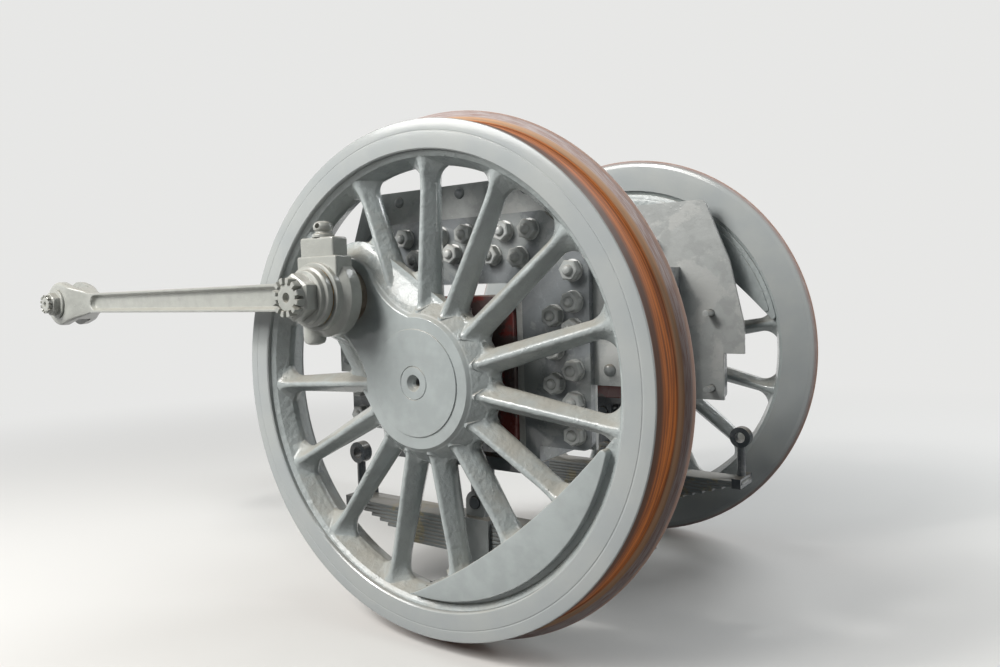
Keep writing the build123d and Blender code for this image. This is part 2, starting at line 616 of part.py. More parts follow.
# Doubling plate between the frame and the horn block
with BuildPart() as doubler_left:
    with BuildSketch(out(SEAT)) as doubler:
        with BuildLine():
            Polyline((-DOUBLER_HALF, DOUBLER_FOOT), (-DOUBLER_HALF, DOUBLER_TONGUE), (-DOUBLER_TOP_HALF - DOUBLER_SPREAD, DOUBLER_SHOULDER),
                     (-DOUBLER_TOP_HALF, DOUBLER_TOP), (DOUBLER_TOP_HALF, DOUBLER_TOP),
                     (DOUBLER_TOP_HALF + DOUBLER_SPREAD, DOUBLER_SHOULDER), (DOUBLER_HALF, DOUBLER_TONGUE),
                     (DOUBLER_HALF, DOUBLER_FOOT), (FLANGE_HALF, DOUBLER_FOOT), (FLANGE_HALF, FLANGE_FOOT),
                     (-FLANGE_HALF, FLANGE_FOOT), (-FLANGE_HALF, DOUBLER_FOOT), close=True)
        make_face()
        fillet(doubler.vertices().group_by(Axis.Y)[-1], 24)
    extrude(amount=DOUBLER)
    add(block(-HORN_HALF - CHEEK, HORN_HALF + CHEEK, SEAT - 1, SEAT + DOUBLER + 1, FLANGE_FOOT - 1, HORN_TOP + CHEEK),
        mode=Mode.SUBTRACT)
    with BuildSketch(out(SEAT)):
        with Locations(*studs_at):
            Circle(STUD_HOLE_R)
    extrude(amount=DOUBLER, mode=Mode.SUBTRACT)
doubler_left.part.label = "doubler_left"
with BuildPart() as doubler_right:
    mirror(doubler_left.part, about=MIDDLE)
doubler_right.part.label = "doubler_right"

# Studs that hold the horn block to the frame, with their outer nuts
def frame_studs(radius):
    """The six studs of the left side, each with its nut."""
    with BuildPart() as piece:
        with BuildSketch(out(SEAT - STUD_REACH)):
            with Locations(*studs_at):
                Circle(radius)
        extrude(amount=STUD_REACH + DOUBLER + FLANGE + STUD_NUT + STUD_TIP)
        with BuildSketch(out(FLANGE_OUT)):
            with Locations(*studs_at):
                RegularPolygon(STUD_NUT_ACROSS / 2, 6, major_radius=False)
        extrude(amount=STUD_NUT)
    return piece.part


with BuildPart() as frame_studs_left:
    add(frame_studs(STUD_R))
frame_studs_left.part.label = "frame_studs_left"
with BuildPart() as frame_studs_right:
    mirror(frame_studs(STUD_R_RIGHT), about=MIDDLE)
frame_studs_right.part.label = "frame_studs_right"

# Liners that the axlebox slides between
with BuildPart() as horn_liners_left:
    for side in (-1, 1):
        inner = side * (HORN_HALF - LINER)
        add(block(min(inner, side * HORN_HALF), max(inner, side * HORN_HALF), CHEEK_IN, FLANGE_OUT, LINER_FOOT, LINER_TOP))
horn_liners_left.part.label = "horn_liners_left"
with BuildPart() as horn_liners_right:
    mirror(horn_liners_left.part, about=MIDDLE)
horn_liners_right.part.label = "horn_liners_right"

# Axlebox, open below for the keep, with the brass in its crown
with BuildPart() as axlebox_left:
    with BuildSketch(out(BOX_IN)) as box:
        with BuildLine():
            Polyline((-BOX_HALF, BOX_FOOT), (-BOX_HALF, BOX_TOP), (BOX_HALF, BOX_TOP), (BOX_HALF, BOX_FOOT), close=True)
        make_face()
        fillet(box.vertices().group_by(Axis.Y)[-1], BOX_CROWN)
        Circle(BRASS_OUT_R, mode=Mode.SUBTRACT)
        with Locations((0, BOX_FOOT / 2)):
            Rectangle(2 * BRASS_OUT_R, -BOX_FOOT, mode=Mode.SUBTRACT)
    extrude(amount=BOX_OUT - BOX_IN)
axlebox_left.part.label = "axlebox_left"
with BuildPart() as axlebox_right:
    mirror(axlebox_left.part, about=MIDDLE)
axlebox_right.part.label = "axlebox_right"

with BuildPart() as axlebox_brass_left:
    with BuildSketch(out(BOX_IN + BRASS_INSET)):
        Circle(BRASS_OUT_R)
        Circle(BRASS_R, mode=Mode.SUBTRACT)
        with Locations((0, -BRASS_OUT_R / 2)):
            Rectangle(2 * BRASS_OUT_R, BRASS_OUT_R, mode=Mode.SUBTRACT)
    extrude(amount=BOX_OUT - BOX_IN - 2 * BRASS_INSET)
axlebox_brass_left.part.label = "axlebox_brass_left"
with BuildPart() as axlebox_brass_right:
    mirror(axlebox_brass_left.part, about=MIDDLE)
axlebox_brass_right.part.label = "axlebox_brass_right"

with BuildPart() as axlebox_keep_left:
    with BuildSketch(out(BOX_IN + BRASS_INSET)):
        with Locations((0, BOX_FOOT / 2)):
            Rectangle(2 * BRASS_OUT_R, -BOX_FOOT)
        Circle(JOURNAL_R + KEEP_GAP, mode=Mode.SUBTRACT)
    extrude(amount=BOX_OUT - BOX_IN - 2 * BRASS_INSET)
axlebox_keep_left.part.label = "axlebox_keep_left"
with BuildPart() as axlebox_keep_right:
    mirror(axlebox_keep_left.part, about=MIDDLE)
axlebox_keep_right.part.label = "axlebox_keep_right"

# Hornstay across the feet of the horn block
with BuildPart() as hornstay_left:
    add(block(-HORN_HALF - CHEEK, HORN_HALF + CHEEK, HORNSTAY_IN, HORNSTAY_OUT, LEG_FOOT - HORNSTAY, LEG_FOOT))
hornstay_left.part.label = "hornstay_left"
with BuildPart() as hornstay_right:
    mirror(hornstay_left.part, about=MIDDLE)
hornstay_right.part.label = "hornstay_right"


def lugs(z_pin, z_seat):
    """Two cheeks either side of the spring link, round at the pin and flat at their seat."""
    with BuildPart() as piece:
        for start in (BOX_MIDDLE - LINK_THICK / 2 - LUG, BOX_MIDDLE + LINK_THICK / 2):
            with BuildSketch(out(start)):
                with Locations((0, z_pin)):
                    Circle(LINK_R)
                with Locations((0, z_seat + (1 if z_seat > z_pin else -1))):
                    Rectangle(2 * LINK_R, 2)
                make_hull()
                with Locations((0, z_pin)):
                    Circle(LINK_PIN_R, mode=Mode.SUBTRACT)
            extrude(amount=LUG)
    return piece.part


# Saddle bar bolted under the axlebox, with the lugs that hold the spring link
with BuildPart() as saddle_left:
    add(block(-BOX_HALF, BOX_HALF, BOX_MIDDLE - SADDLE_HALF, BOX_MIDDLE + SADDLE_HALF, SADDLE_FOOT, BOX_FOOT))
    add(lugs(LINK_TOP, SADDLE_FOOT))
saddle_left.part.label = "saddle_left"
with BuildPart() as saddle_right:
    mirror(saddle_left.part, about=MIDDLE)
saddle_right.part.label = "saddle_right"

with BuildPart() as spring_link_left:
    with BuildSketch(out(BOX_MIDDLE - LINK_THICK / 2)):
        for z in (LINK_TOP, LINK_FOOT):
            with Locations((0, z)):
                Circle(LINK_R - 3)
        make_hull()
    extrude(amount=LINK_THICK)
    for z in (LINK_TOP, LINK_FOOT):
        with BuildSketch(out(BOX_MIDDLE - LINK_THICK / 2 - LUG - 6)):
            with Locations((0, z)):
                Circle(LINK_PIN_R)
        extrude(amount=LINK_THICK + 2 * LUG + 12)
spring_link_left.part.label = "spring_link_left"
with BuildPart() as spring_link_right:
    mirror(spring_link_left.part, about=MIDDLE)
spring_link_right.part.label = "spring_link_right"

# Leaf spring, longest leaf on top
with BuildPart() as leaf_spring_left:
    with BuildSketch(out(BOX_MIDDLE - LEAF_WIDTH / 2)):
        for leaf in range(LEAVES):
            with Locations((0, SPRING_TOP - (leaf + 0.5) * LEAF)):
                Rectangle(2 * (LEAF_HALF - leaf * LEAF_STEP), LEAF)
    extrude(amount=LEAF_WIDTH)
leaf_spring_left.part.label = "leaf_spring_left"
with BuildPart() as leaf_spring_right:
    mirror(leaf_spring_left.part, about=MIDDLE)
leaf_spring_right.part.label = "leaf_spring_right"

with BuildPart() as spring_buckle_left:
    add(block(-BUCKLE_HALF, BUCKLE_HALF, BOX_MIDDLE - LEAF_WIDTH / 2 - BUCKLE_WALL, BOX_MIDDLE + LEAF_WIDTH / 2 + BUCKLE_WALL,
              BUCKLE_FOOT, BUCKLE_TOP))
    add(block(-BUCKLE_HALF - 1, BUCKLE_HALF + 1, BOX_MIDDLE - LEAF_WIDTH / 2, BOX_MIDDLE + LEAF_WIDTH / 2,
              SPRING_FOOT, SPRING_TOP), mode=Mode.SUBTRACT)
    add(lugs(LINK_FOOT, BUCKLE_TOP))
spring_buckle_left.part.label = "spring_buckle_left"
with BuildPart() as spring_buckle_right:
    mirror(spring_buckle_left.part, about=MIDDLE)
spring_buckle_right.part.label = "spring_buckle_right"

# Hangers at the two ends of the spring, each a clip round the leaf, a rod and an eye
with BuildPart() as spring_hangers_left:
    clip_in = BOX_MIDDLE - LEAF_WIDTH / 2 - HANGER_WALL
    clip_out = BOX_MIDDLE + LEAF_WIDTH / 2 + HANGER_WALL
    clip_top = SPRING_TOP + HANGER_WALL
    clip_foot = SPRING_TOP - LEAF - HANGER_WALL
    for x in (-HANGER_X, HANGER_X):
        add(block(x - HANGER_CLIP, x + HANGER_CLIP, clip_in, clip_out, clip_foot, clip_top))
        rod_plane = Plane(origin=(x, SEAT - BOX_MIDDLE, clip_top), x_dir=(1, 0, 0), z_dir=(0, 0, 1))
        with BuildSketch(rod_plane):
            Circle(min(HANGER_ROD_R, HANGER_THICK / 2))
        extrude(amount=HANGER_EYE_Z - clip_top)
        with BuildSketch(out(BOX_MIDDLE - HANGER_THICK / 2)):
            with Locations((x, HANGER_EYE_Z)):
                Circle(HANGER_EYE_R)
        extrude(amount=HANGER_THICK)
        with BuildSketch(out(BOX_MIDDLE - HANGER_THICK / 2)):
            with Locations((x, HANGER_EYE_Z)):
                Circle(HANGER_BORE_R)
        extrude(amount=HANGER_THICK, mode=Mode.SUBTRACT)
    add(block(-LEAF_HALF - 1, LEAF_HALF + 1, BOX_MIDDLE - LEAF_WIDTH / 2, BOX_MIDDLE + LEAF_WIDTH / 2,
              SPRING_TOP - LEAF, SPRING_TOP), mode=Mode.SUBTRACT)
spring_hangers_left.part.label = "spring_hangers_left"
with BuildPart() as spring_hangers_right:
    mirror(spring_hangers_left.part, about=MIDDLE)
spring_hangers_right.part.label = "spring_hangers_right"

os.makedirs("parts", exist_ok=True)
export_step(axle.part, "parts/axle.step")
export_step(wheel_centre_left.part, "parts/wheel_centre_left.step")
export_step(wheel_centre_right.part, "parts/wheel_centre_right.step")
export_step(tyre_left.part, "parts/tyre_left.step")
export_step(tyre_right.part, "parts/tyre_right.step")
export_step(crank_pin_left.part, "parts/crank_pin_left.step")
export_step(crank_pin_right.part, "parts/crank_pin_right.step")
export_step(crank_nut_left.part, "parts/crank_nut_left.step")
export_step(crank_nut_right.part, "parts/crank_nut_right.step")
export_step(coupling_rod_left.part, "parts/coupling_rod_left.step")
export_step(coupling_rod_right.part, "parts/coupling_rod_right.step")
export_step(rod_bush_left.part, "parts/rod_bush_left.step")
export_step(rod_bush_right.part, "parts/rod_bush_right.step")
export_step(oil_cap_left.part, "parts/oil_cap_left.step")
export_step(oil_cap_right.part, "parts/oil_cap_right.step")
export_step(knuckle_pin_left.part, "parts/knuckle_pin_left.step")
export_step(knuckle_pin_right.part, "parts/knuckle_pin_right.step")
export_step(knuckle_nut_left.part, "parts/knuckle_nut_left.step")
export_step(knuckle_nut_right.part, "parts/knuckle_nut_right.step")
export_step(hornblock_left.part, "parts/hornblock_left.step")
export_step(hornblock_right.part, "parts/hornblock_right.step")
export_step(doubler_left.part, "parts/doubler_left.step")
export_step(doubler_right.part, "parts/doubler_right.step")
export_step(frame_studs_left.part, "parts/frame_studs_left.step")
export_step(frame_studs_right.part, "parts/frame_studs_right.step")
export_step(horn_liners_left.part, "parts/horn_liners_left.step")
export_step(horn_liners_right.part, "parts/horn_liners_right.step")
export_step(axlebox_left.part, "parts/axlebox_left.step")
export_step(axlebox_right.part, "parts/axlebox_right.step")
export_step(axlebox_brass_left.part, "parts/axlebox_brass_left.step")
export_step(axlebox_brass_right.part, "parts/axlebox_brass_right.step")
export_step(axlebox_keep_left.part, "parts/axlebox_keep_left.step")
export_step(axlebox_keep_right.part, "parts/axlebox_keep_right.step")
export_step(hornstay_left.part, "parts/hornstay_left.step")
export_step(hornstay_right.part, "parts/hornstay_right.step")
export_step(saddle_left.part, "parts/saddle_left.step")
export_step(saddle_right.part, "parts/saddle_right.step")
export_step(spring_link_left.part, "parts/spring_link_left.step")
export_step(spring_link_right.part, "parts/spring_link_right.step")
export_step(leaf_spring_left.part, "parts/leaf_spring_left.step")
export_step(leaf_spring_right.part, "parts/leaf_spring_right.step")
export_step(spring_buckle_left.part, "parts/spring_buckle_left.step")
export_step(spring_buckle_right.part, "parts/spring_buckle_right.step")
export_step(spring_hangers_left.part, "parts/spring_hangers_left.step")
export_step(spring_hangers_right.part, "parts/spring_hangers_right.step")
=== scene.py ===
import math

import bmesh
import bpy
import numpy as np
from mathutils import Matrix, Vector


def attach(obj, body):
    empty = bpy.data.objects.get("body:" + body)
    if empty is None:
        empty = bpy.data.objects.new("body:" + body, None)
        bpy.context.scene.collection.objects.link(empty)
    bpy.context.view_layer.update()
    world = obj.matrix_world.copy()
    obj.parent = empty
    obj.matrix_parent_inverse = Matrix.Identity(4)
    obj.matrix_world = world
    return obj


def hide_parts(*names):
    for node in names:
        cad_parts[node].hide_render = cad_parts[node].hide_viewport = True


# Coupled wheelset of a steam locomotive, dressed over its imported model.
# Shapes are worked out in millimetres as (x, out, z), out being the distance from the centre line
# towards the left side, and placed in the frame of the model in metres.

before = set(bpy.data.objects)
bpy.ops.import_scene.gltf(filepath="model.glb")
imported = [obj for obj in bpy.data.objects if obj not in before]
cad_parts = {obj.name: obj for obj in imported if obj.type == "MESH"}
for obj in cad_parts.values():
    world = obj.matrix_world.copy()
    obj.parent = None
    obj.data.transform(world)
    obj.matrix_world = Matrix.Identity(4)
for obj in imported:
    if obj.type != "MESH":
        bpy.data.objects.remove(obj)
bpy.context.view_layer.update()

SEAT = 425.0
FACE = 625.0
TAU = 2 * math.pi

# Camera: a wide lens close to the left wheel, at the height of its hub
LENS, SENSOR = 27.67, 36.0
EYE = (1.2387, -1.5723, 0.2185)
TURN_RIGHT, TILT_DOWN, ROLL = 35.5734, -3.2705, 1.6773

# Wheel
SPOKES = 15
CRANK_ANGLE = 135.5
CRANK_THROW = 305.0
PIN_X = CRANK_THROW * math.cos(math.radians(CRANK_ANGLE))
PIN_Z = CRANK_THROW * math.sin(math.radians(CRANK_ANGLE))
RIGHT_PIN_X = CRANK_THROW * math.cos(math.radians(CRANK_ANGLE + 90))
RIGHT_PIN_Z = CRANK_THROW * math.sin(math.radians(CRANK_ANGLE + 90))
RIM_IN_R = 521.0        # rim's wall at mid depth, where it is thickest
RIM_LIP_R = 539.0       # and at its front and back edges
RIM_FRONT = FACE - 11.0
RIM_BACK = FACE - 123.0
TYRE_BORE_R = 552.0
TYRE_BACK = FACE - 130.0
TREAD_R = 622.5         # at the face
FLANGE_R = 658.5
FLOOR_Z = -FLANGE_R / 1000
HUB_R = 160.0
HUB_SWELL_R = 198.0
HUB_BACK = FACE - 140.0
SEAT_R = 105.0
SPOKE_MIDDLE = FACE - 62.0
SPOKE_R = (188, 478)            # a spoke tapers between these radii
SPOKE_HALF_WIDTH = (29.5, 22)   # and has these sizes at the one and at the other
SPOKE_HALF_DEPTH = (46, 33)
HUB_FILLET, RIM_FILLET, WEIGHT_FILLET = 16.0, 46.0, 24.0
WEIGHT_ANGLE = -52.0
WEIGHT_SPREAD = 39.0            # a spoke within this angle of the weight's middle may end at its edge
WEIGHT_EDGE_R = 1750.0
WEIGHT_EDGE_AWAY = 426.0 - WEIGHT_EDGE_R
WEIGHT_OUTER_R = 526.0
WEIGHT_BED_R = 541.0            # bottom of the valley between the weight and the rim
WEIGHT_DEPTH = 122.0
WEB_ROOT_R = 158.0      # front of the crank web: arcs about the hub and the pin, and the waist between
WEB_BOSS_R = 100.0
WEB_WAIST_R = 190.0
WEB_FOOT_R = 198.0      # foot of its sloping flank
WEB_BOSS_FOOT_R = 139.0
WEB_LEAN = math.acos((WEB_FOOT_R - WEB_BOSS_FOOT_R) / CRANK_THROW)  # where tangents touch the foot's two arcs
SUNK = 1.5              # how far a fillet's skin starts inside the walls that it joins

# Crank pin and rod, stacked out from the wheel
ROD_BACK = FACE + 45.0
ROD_FRONT = ROD_BACK + 66.0
ROD_MIDDLE = ROD_BACK + 23.5
WASHER_BACK = ROD_FRONT + 3.0
NUT_BACK = WASHER_BACK + 30.0
CROWN_BACK = NUT_BACK + 34.0
PIN_END = CROWN_BACK + 17.0
ROD_LENGTH = 1282.0
KNUCKLE_X = PIN_X - ROD_LENGTH
PIN_R, PIN_NECK_R = 57.5, 32.0      # of the crank pin's journal and thread
ROD_BORE_R = 72.0
KNUCKLE_PIN_R = 24.0
FORK_R = 73.5
FORK_BACK = ROD_MIDDLE - 50.0
FORK_FRONT = ROD_MIDDLE + 50.0
BEAM_BACK = ROD_MIDDLE - 21.0
BEAM_FRONT = ROD_MIDDLE + 21.0

# Horn block
FLANGE_OUT = SEAT + 32.0
BOX_MIDDLE = 365.0
SPRING_TOP = -394.0
LEAF = 10.5


# ---------------------------------------------------------------- surfaces

def grid(points, wrap_u=False, wrap_v=False):
    """Points (u, v, 3) as vertices and the quads between neighbours, round and round where it wraps."""
    nu, nv = points.shape[:2]
    i, j = np.meshgrid(np.arange(nu if wrap_u else nu - 1), np.arange(nv if wrap_v else nv - 1), indexing="ij")
    i2, j2 = (i + 1) % nu, (j + 1) % nv
    quads = np.stack([i * nv + j, i2 * nv + j, i2 * nv + j2, i * nv + j2], -1).reshape(-1, 4)
    return points.reshape(-1, 3), [list(map(int, q)) for q in quads]


def xyz(x, out, z):
    """Points from their three distances, each spread over the others."""
    return np.stack(np.broadcast_arrays(x, out, z), -1)


def around(steps):
    """Angles round a circle, as a column."""
    return (np.arange(steps) * TAU / steps)[:, None]


def tube(rings):
    """Rings of points (ring, place on it, 3) skinned from one to the next, with a face over each end."""
    n, m = rings.shape[:2]
    points, faces = grid(rings, wrap_v=True)
    return points, faces + [list(range(m)), [(n - 1) * m + k for k in range(m)]]


def barrel(staves):
    """The same from points (place round it, ring, 3)."""
    n, m = staves.shape[:2]
    points, faces = grid(staves, wrap_u=True)
    return points, faces + [[k * m + end for k in range(n)] for end in (0, m - 1)]


def layers(rings, outs):
    """Flat rings (x, z) of one length, each at its distance out."""
    return np.stack([xyz(ring[:, 0], out, ring[:, 1]) for ring, out in zip(rings, outs)])


def unit(degrees):
    """Direction (x, z) at an angle."""
    return np.array([math.cos(math.radians(degrees)), math.sin(math.radians(degrees))])


def spun(along, aside, degrees):
    """Distances along a direction and to its left, as x and z."""
    c, s = unit(degrees)
    return along * c - aside * s, along * s + aside * c


def joined(*shells):
    """Several shells as one list of vertices and faces."""
    points, faces, start = [], [], 0
    for p, f in shells:
        points.append(np.asarray(p, float))
        faces += [[k + start for k in face] for face in f]
        start += len(p)
    return np.concatenate(points), faces


def rounded(corners, radii, steps=5, closed=False):
    """Polyline whose corners are arcs: each leaves and meets its sides at r / tan(half the corner) from it."""
    corners = np.asarray(corners, float)
    n, line = len(corners), []
    for k in range(n):
        radius = radii[k] if np.ndim(radii) else radii
        if radius <= 0 or (not closed and k in (0, n - 1)):
            line.append(corners[k][None])
            continue
        before, after = corners[k - 1] - corners[k], corners[(k + 1) % n] - corners[k]
        a, b = before / np.linalg.norm(before), after / np.linalg.norm(after)
        half = math.acos(np.clip(a @ b, -1, 1)) / 2
        if half > 1.55:
            line.append(corners[k][None])
            continue
        reach = min(radius / math.tan(half), 0.49 * np.linalg.norm(before), 0.49 * np.linalg.norm(after))
        radius = reach * math.tan(half)
        centre = corners[k] + (a + b) / np.linalg.norm(a + b) * radius / math.sin(half)
        first, last = corners[k] + a * reach - centre, corners[k] + b * reach - centre
        angle = math.acos(np.clip(first @ last / radius ** 2, -1, 1))
        t = np.linspace(0, 1, steps + 1)[:, None]
        line.append(centre + (np.sin((1 - t) * angle) * first + np.sin(t * angle) * last) / math.sin(angle))
    return np.concatenate(line)


def turned(profile, x=0.0, z=0.0, steps=240, ring=True):
    """Surface of revolution: a profile point (r, out) goes to (x + r cos t, out, z + r sin t)."""
    r, out = np.asarray(profile, float).T
    t = around(steps)
    return grid(xyz(x + r * np.cos(t), out, z + r * np.sin(t)), wrap_u=True, wrap_v=ring)


def outward(outline):
    """Unit normals that point out of a closed outline (x, z)."""
    along = np.roll(outline, -1, 0) - np.roll(outline, 1, 0)
    normal = np.stack([along[:, 1], -along[:, 0]], -1) / np.linalg.norm(along, axis=1)[:, None]
    x, z = outline.T
    return normal * np.sign(np.sum(x * np.roll(z, -1) - z * np.roll(x, -1)))


def plate(outline, back, front, back_edge=2.0, front_edge=2.0, steps=5, ladder=False):
    """Flat plate between two depths: its closed outline (x, z) steps in by r (1 - cos a) as it rounds each edge.
    Its faces are one polygon each, or rungs between the outline's first half and its second."""
    outline = np.asarray(outline, float)
    a = np.linspace(0, math.pi / 2, steps + 1)
    inset = np.concatenate([back_edge * (1 - np.sin(a)), front_edge * (1 - np.cos(a))])
    depth = np.concatenate([back + back_edge * (1 - np.cos(a)), front - front_edge * (1 - np.sin(a))])
    flat = outline[:, None] - outward(outline)[:, None] * inset[None, :, None]
    n, m = flat.shape[:2]
    skin = xyz(flat[..., 0], depth, flat[..., 1])
    if not ladder:
        return barrel(skin)
    points, faces = grid(skin, wrap_u=True)
    rungs = [(k, k + 1, n - 2 - k, n - 1 - k) for k in range(n // 2 - 1)]
    return points, faces + [[k * m + end for k in rung] for rung in rungs for end in (0, m - 1)]


def circle(r, x=0.0, z=0.0, steps=96, start=0.0, end=TAU):
    """Points on a circle or an arc, (x + r cos t, z + r sin t)."""
    whole = abs(end - start - TAU) < 1e-9
    t = np.linspace(start, end, steps, endpoint=not whole)
    return np.stack([x + r * np.cos(t), z + r * np.sin(t)], -1)


def in_scene(name, data):
    """New object in the scene."""
    obj = bpy.data.objects.new(name, data)
    bpy.context.scene.collection.objects.link(obj)
    return obj


def cleaned(mesh, merge, level=0.0):
    """The mesh with doubles merged and its faces turned outward; slivers are dissolved, or, where an angle is given,
    the edges inside its flat faces."""
    skin = bmesh.new()
    skin.from_mesh(mesh)
    bmesh.ops.remove_doubles(skin, verts=skin.verts, dist=merge)
    if level:
        bmesh.ops.dissolve_limit(skin, angle_limit=math.radians(level), verts=skin.verts, edges=skin.edges)
    else:
        bmesh.ops.dissolve_degenerate(skin, edges=skin.edges, dist=merge / 2)
    bmesh.ops.recalc_face_normals(skin, faces=skin.faces)
    skin.to_mesh(mesh)
    skin.free()
    return mesh


def mesh_of(points, faces, name, merge):
    """Mesh from vertices and faces, cleaned."""
    mesh = bpy.data.meshes.new(name)
    mesh.from_pydata(np.asarray(points).tolist(), [], faces)
    return cleaned(mesh, merge)


def solid_sum(first, others, cuts=()):
    """Shell round the first shell and the others, less the cuts, by Boolean modifiers that are then applied."""
    base, *helpers = [in_scene("helper", mesh_of(*shell, "helper", 0.002)) for shell in (first, *others, *cuts)]
    for k, helper in enumerate(helpers):
        step = base.modifiers.new("sum", "BOOLEAN")
        step.operation = "UNION" if k < len(others) else "DIFFERENCE"
        step.solver, step.object = "MANIFOLD", helper
    mesh = bpy.data.meshes.new_from_object(base.evaluated_get(bpy.context.evaluated_depsgraph_get()))
    for obj in (base, *helpers):
        old = obj.data
        bpy.data.objects.remove(obj)
        bpy.data.meshes.remove(old)
    points = np.empty(len(mesh.vertices) * 3)
    mesh.vertices.foreach_get("co", points)
    faces = [list(face.vertices) for face in mesh.polygons]
    bpy.data.meshes.remove(mesh)
    return points.reshape(-1, 3), faces


# ---------------------------------------------------------------- places

def on_left(p):
    """Left side, in metres: y = SEAT - out."""
    return (p * [1, -1, 1] + [0, SEAT, 0]) / 1000


def on_right(p):
    """Right side: the mirror image over the centre line."""
    return (p + [0, SEAT, 0]) / 1000


def on_right_wheel(p):
    """The left wheel turned end for end about the line halfway between the two cranks."""
    axis = np.insert(unit(CRANK_ANGLE + 45), 1, 0)
    q = p * [1, -1, 1]
    return on_right(2 * (q @ axis)[:, None] * axis - q)


def on_right_rod(p):
    """The left rod mirrored and carried to the right crank."""
    return on_right(p + [RIGHT_PIN_X - PIN_X, 0, RIGHT_PIN_Z - PIN_Z])


def dressed(name, mesh, body, materials, replaces, sharp, pick=None, edge=0.0):
    """A named piece of the object from its mesh: its materials, picked face by face where there are two, smooth
    shading up to an angle, rounded edges where a width is given, its body and replaced nodes."""
    for made in materials:
        mesh.materials.append(made)
    if pick:
        middles = np.empty(len(mesh.polygons) * 3)
        mesh.polygons.foreach_get("center", middles)
        mesh.polygons.foreach_set("material_index", pick(middles.reshape(-1, 3)).astype(np.int32))
    obj = in_scene(name, mesh)
    if edge:
        bevel = obj.modifiers.new("rounded_edges", "BEVEL")
        bevel.width, bevel.segments, bevel.limit_method, bevel.angle_limit = edge, 2, "ANGLE", math.radians(40)
        bevel.use_clamp_overlap = True
    mesh.shade_smooth()
    mesh.set_sharp_from_angle(angle=math.radians(sharp))
    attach(obj, body)
    if replaces:
        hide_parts(*replaces)


def piece(name, shell, place, body, slot, materials, replaces=(), sharp=30.0, pick=None):
    """A piece from a shell in millimetres, put in its place."""
    points, faces = shell
    dressed(name, mesh_of(place(np.asarray(points)), faces, name, 2e-6), body, materials, replaces, sharp, pick)


def pieces(side, place, body, table):
    """One side's pieces from a table with the columns name, shell, slot, materials and replaced node, and further
    ones where the angle of sharp edges or the choice of the material isn't the usual one."""
    for name, shell, slot, materials, node_name, *more in table:
        replaces = [f"{node_name}_{side}"] if node_name else ()
        piece(f"{name}_{side}", shell, place, body, slot, materials, replaces, *more)


# ---------------------------------------------------------------- materials

def emptied(owner):
    """Node tree of a material or of the world, without its default nodes."""
    owner.use_nodes = True
    owner.node_tree.nodes.clear()
    return owner.node_tree


def node(tree, kind, settings=None, **inputs):
    """A node with its settings and inputs, which are named or, as in i0, numbered. A socket as input is linked."""
    made = tree.nodes.new(kind)
    for key, value in (settings or {}).items():
        setattr(made, key, value)
    for key, value in inputs.items():
        numbered = key[0] == "i" and key[1:].isdigit()
        socket = made.inputs[int(key[1:]) if numbered else key.replace("_", " ")]
        if isinstance(value, bpy.types.NodeSocket):
            tree.links.new(value, socket)
        else:
            socket.default_value = value
    return made


def maths(operation, *values):
    """One Math node in the tree of its sockets; values are numbers or sockets."""
    tree = next(value.id_data for value in values if isinstance(value, bpy.types.NodeSocket))
    return node(tree, "ShaderNodeMath", {"operation": operation},
                **{f"i{k}": value for k, value in enumerate(values)}).outputs[0]


def ramp(value, low, high):
    """0 below low, 1 above high and a smooth step between."""
    return node(value.id_data, "ShaderNodeMapRange", {"interpolation_type": "SMOOTHSTEP"}, Value=value,
                From_Min=low, From_Max=high, To_Min=0.0, To_Max=1.0).outputs[0]


def mixed(factor, a, b):
    """Colour a where the factor is 0 and b where it is 1."""
    made = node(factor.id_data, "ShaderNodeMix", {"data_type": "RGBA", "clamp_factor": True}, i0=factor)
    for index, value in ((6, a), (7, b)):
        if isinstance(value, bpy.types.NodeSocket):
            made.id_data.links.new(value, made.inputs[index])
        else:
            made.inputs[index].default_value = (*value, 1.0)
    return made.outputs[2]


def times(a, b):
    """Product."""
    return maths("MULTIPLY", a, b)


def linear(value, slope_painted_reflection, start):
    """A value times a slope, added to a start."""
    return maths("MULTIPLY_ADD", value, slope_painted_reflection, start)


def rest_of(share):
    """What a share leaves of one."""
    return maths("SUBTRACT", 1.0, share)


def object_spot(tree):
    """Place in the object's own coordinates."""
    return node(tree, "ShaderNodeTexCoord").outputs["Object"]


def noise(spot, scale, detail=2.0, roughness=0.5, distortion=0.0):
    """Cloudy noise between 0 and 1."""
    return node(spot.id_data, "ShaderNodeTexNoise", Vector=spot, Scale=scale, Detail=detail, Roughness=roughness,
                Distortion=distortion).outputs[0]


def group(name, build, outputs, **inputs):
    """Shader node group of plain numbers, with named outputs and named inputs with their defaults."""
    tree = bpy.data.node_groups.new(name, "ShaderNodeTree")
    for key, default in inputs.items():
        tree.interface.new_socket(key, in_out="INPUT", socket_type="NodeSocketFloat").default_value = default
    for key in outputs:
        tree.interface.new_socket(key, in_out="OUTPUT", socket_type="NodeSocketFloat")
    start, end = tree.nodes.new("NodeGroupInput"), tree.nodes.new("NodeGroupOutput")
    for key, socket in build(tree, start.outputs).items():
        tree.links.new(socket, end.inputs[key])
    return tree


def thick_paint(tree, given):
    """Height of brushed paint over a sand casting: coarse lumps, fine grain and a few drops."""
    spot = object_spot(tree)
    lumps = noise(spot, given["Lumps"], 3.0, 0.55)
    grain = noise(spot, given["Grain"], 2.0, 0.6)
    away = node(tree, "ShaderNodeTexVoronoi", {"feature": "SMOOTH_F1"}, Vector=spot, Scale=given["Drops"],
                Smoothness=0.6).outputs["Distance"]
    few = ramp(noise(spot, 9.0), 0.55, 0.7)
    drops = times(rest_of(ramp(away, 0.05, 0.35)), few)
    return {"Height": linear(drops, 0.5, linear(grain, 0.14, lumps))}


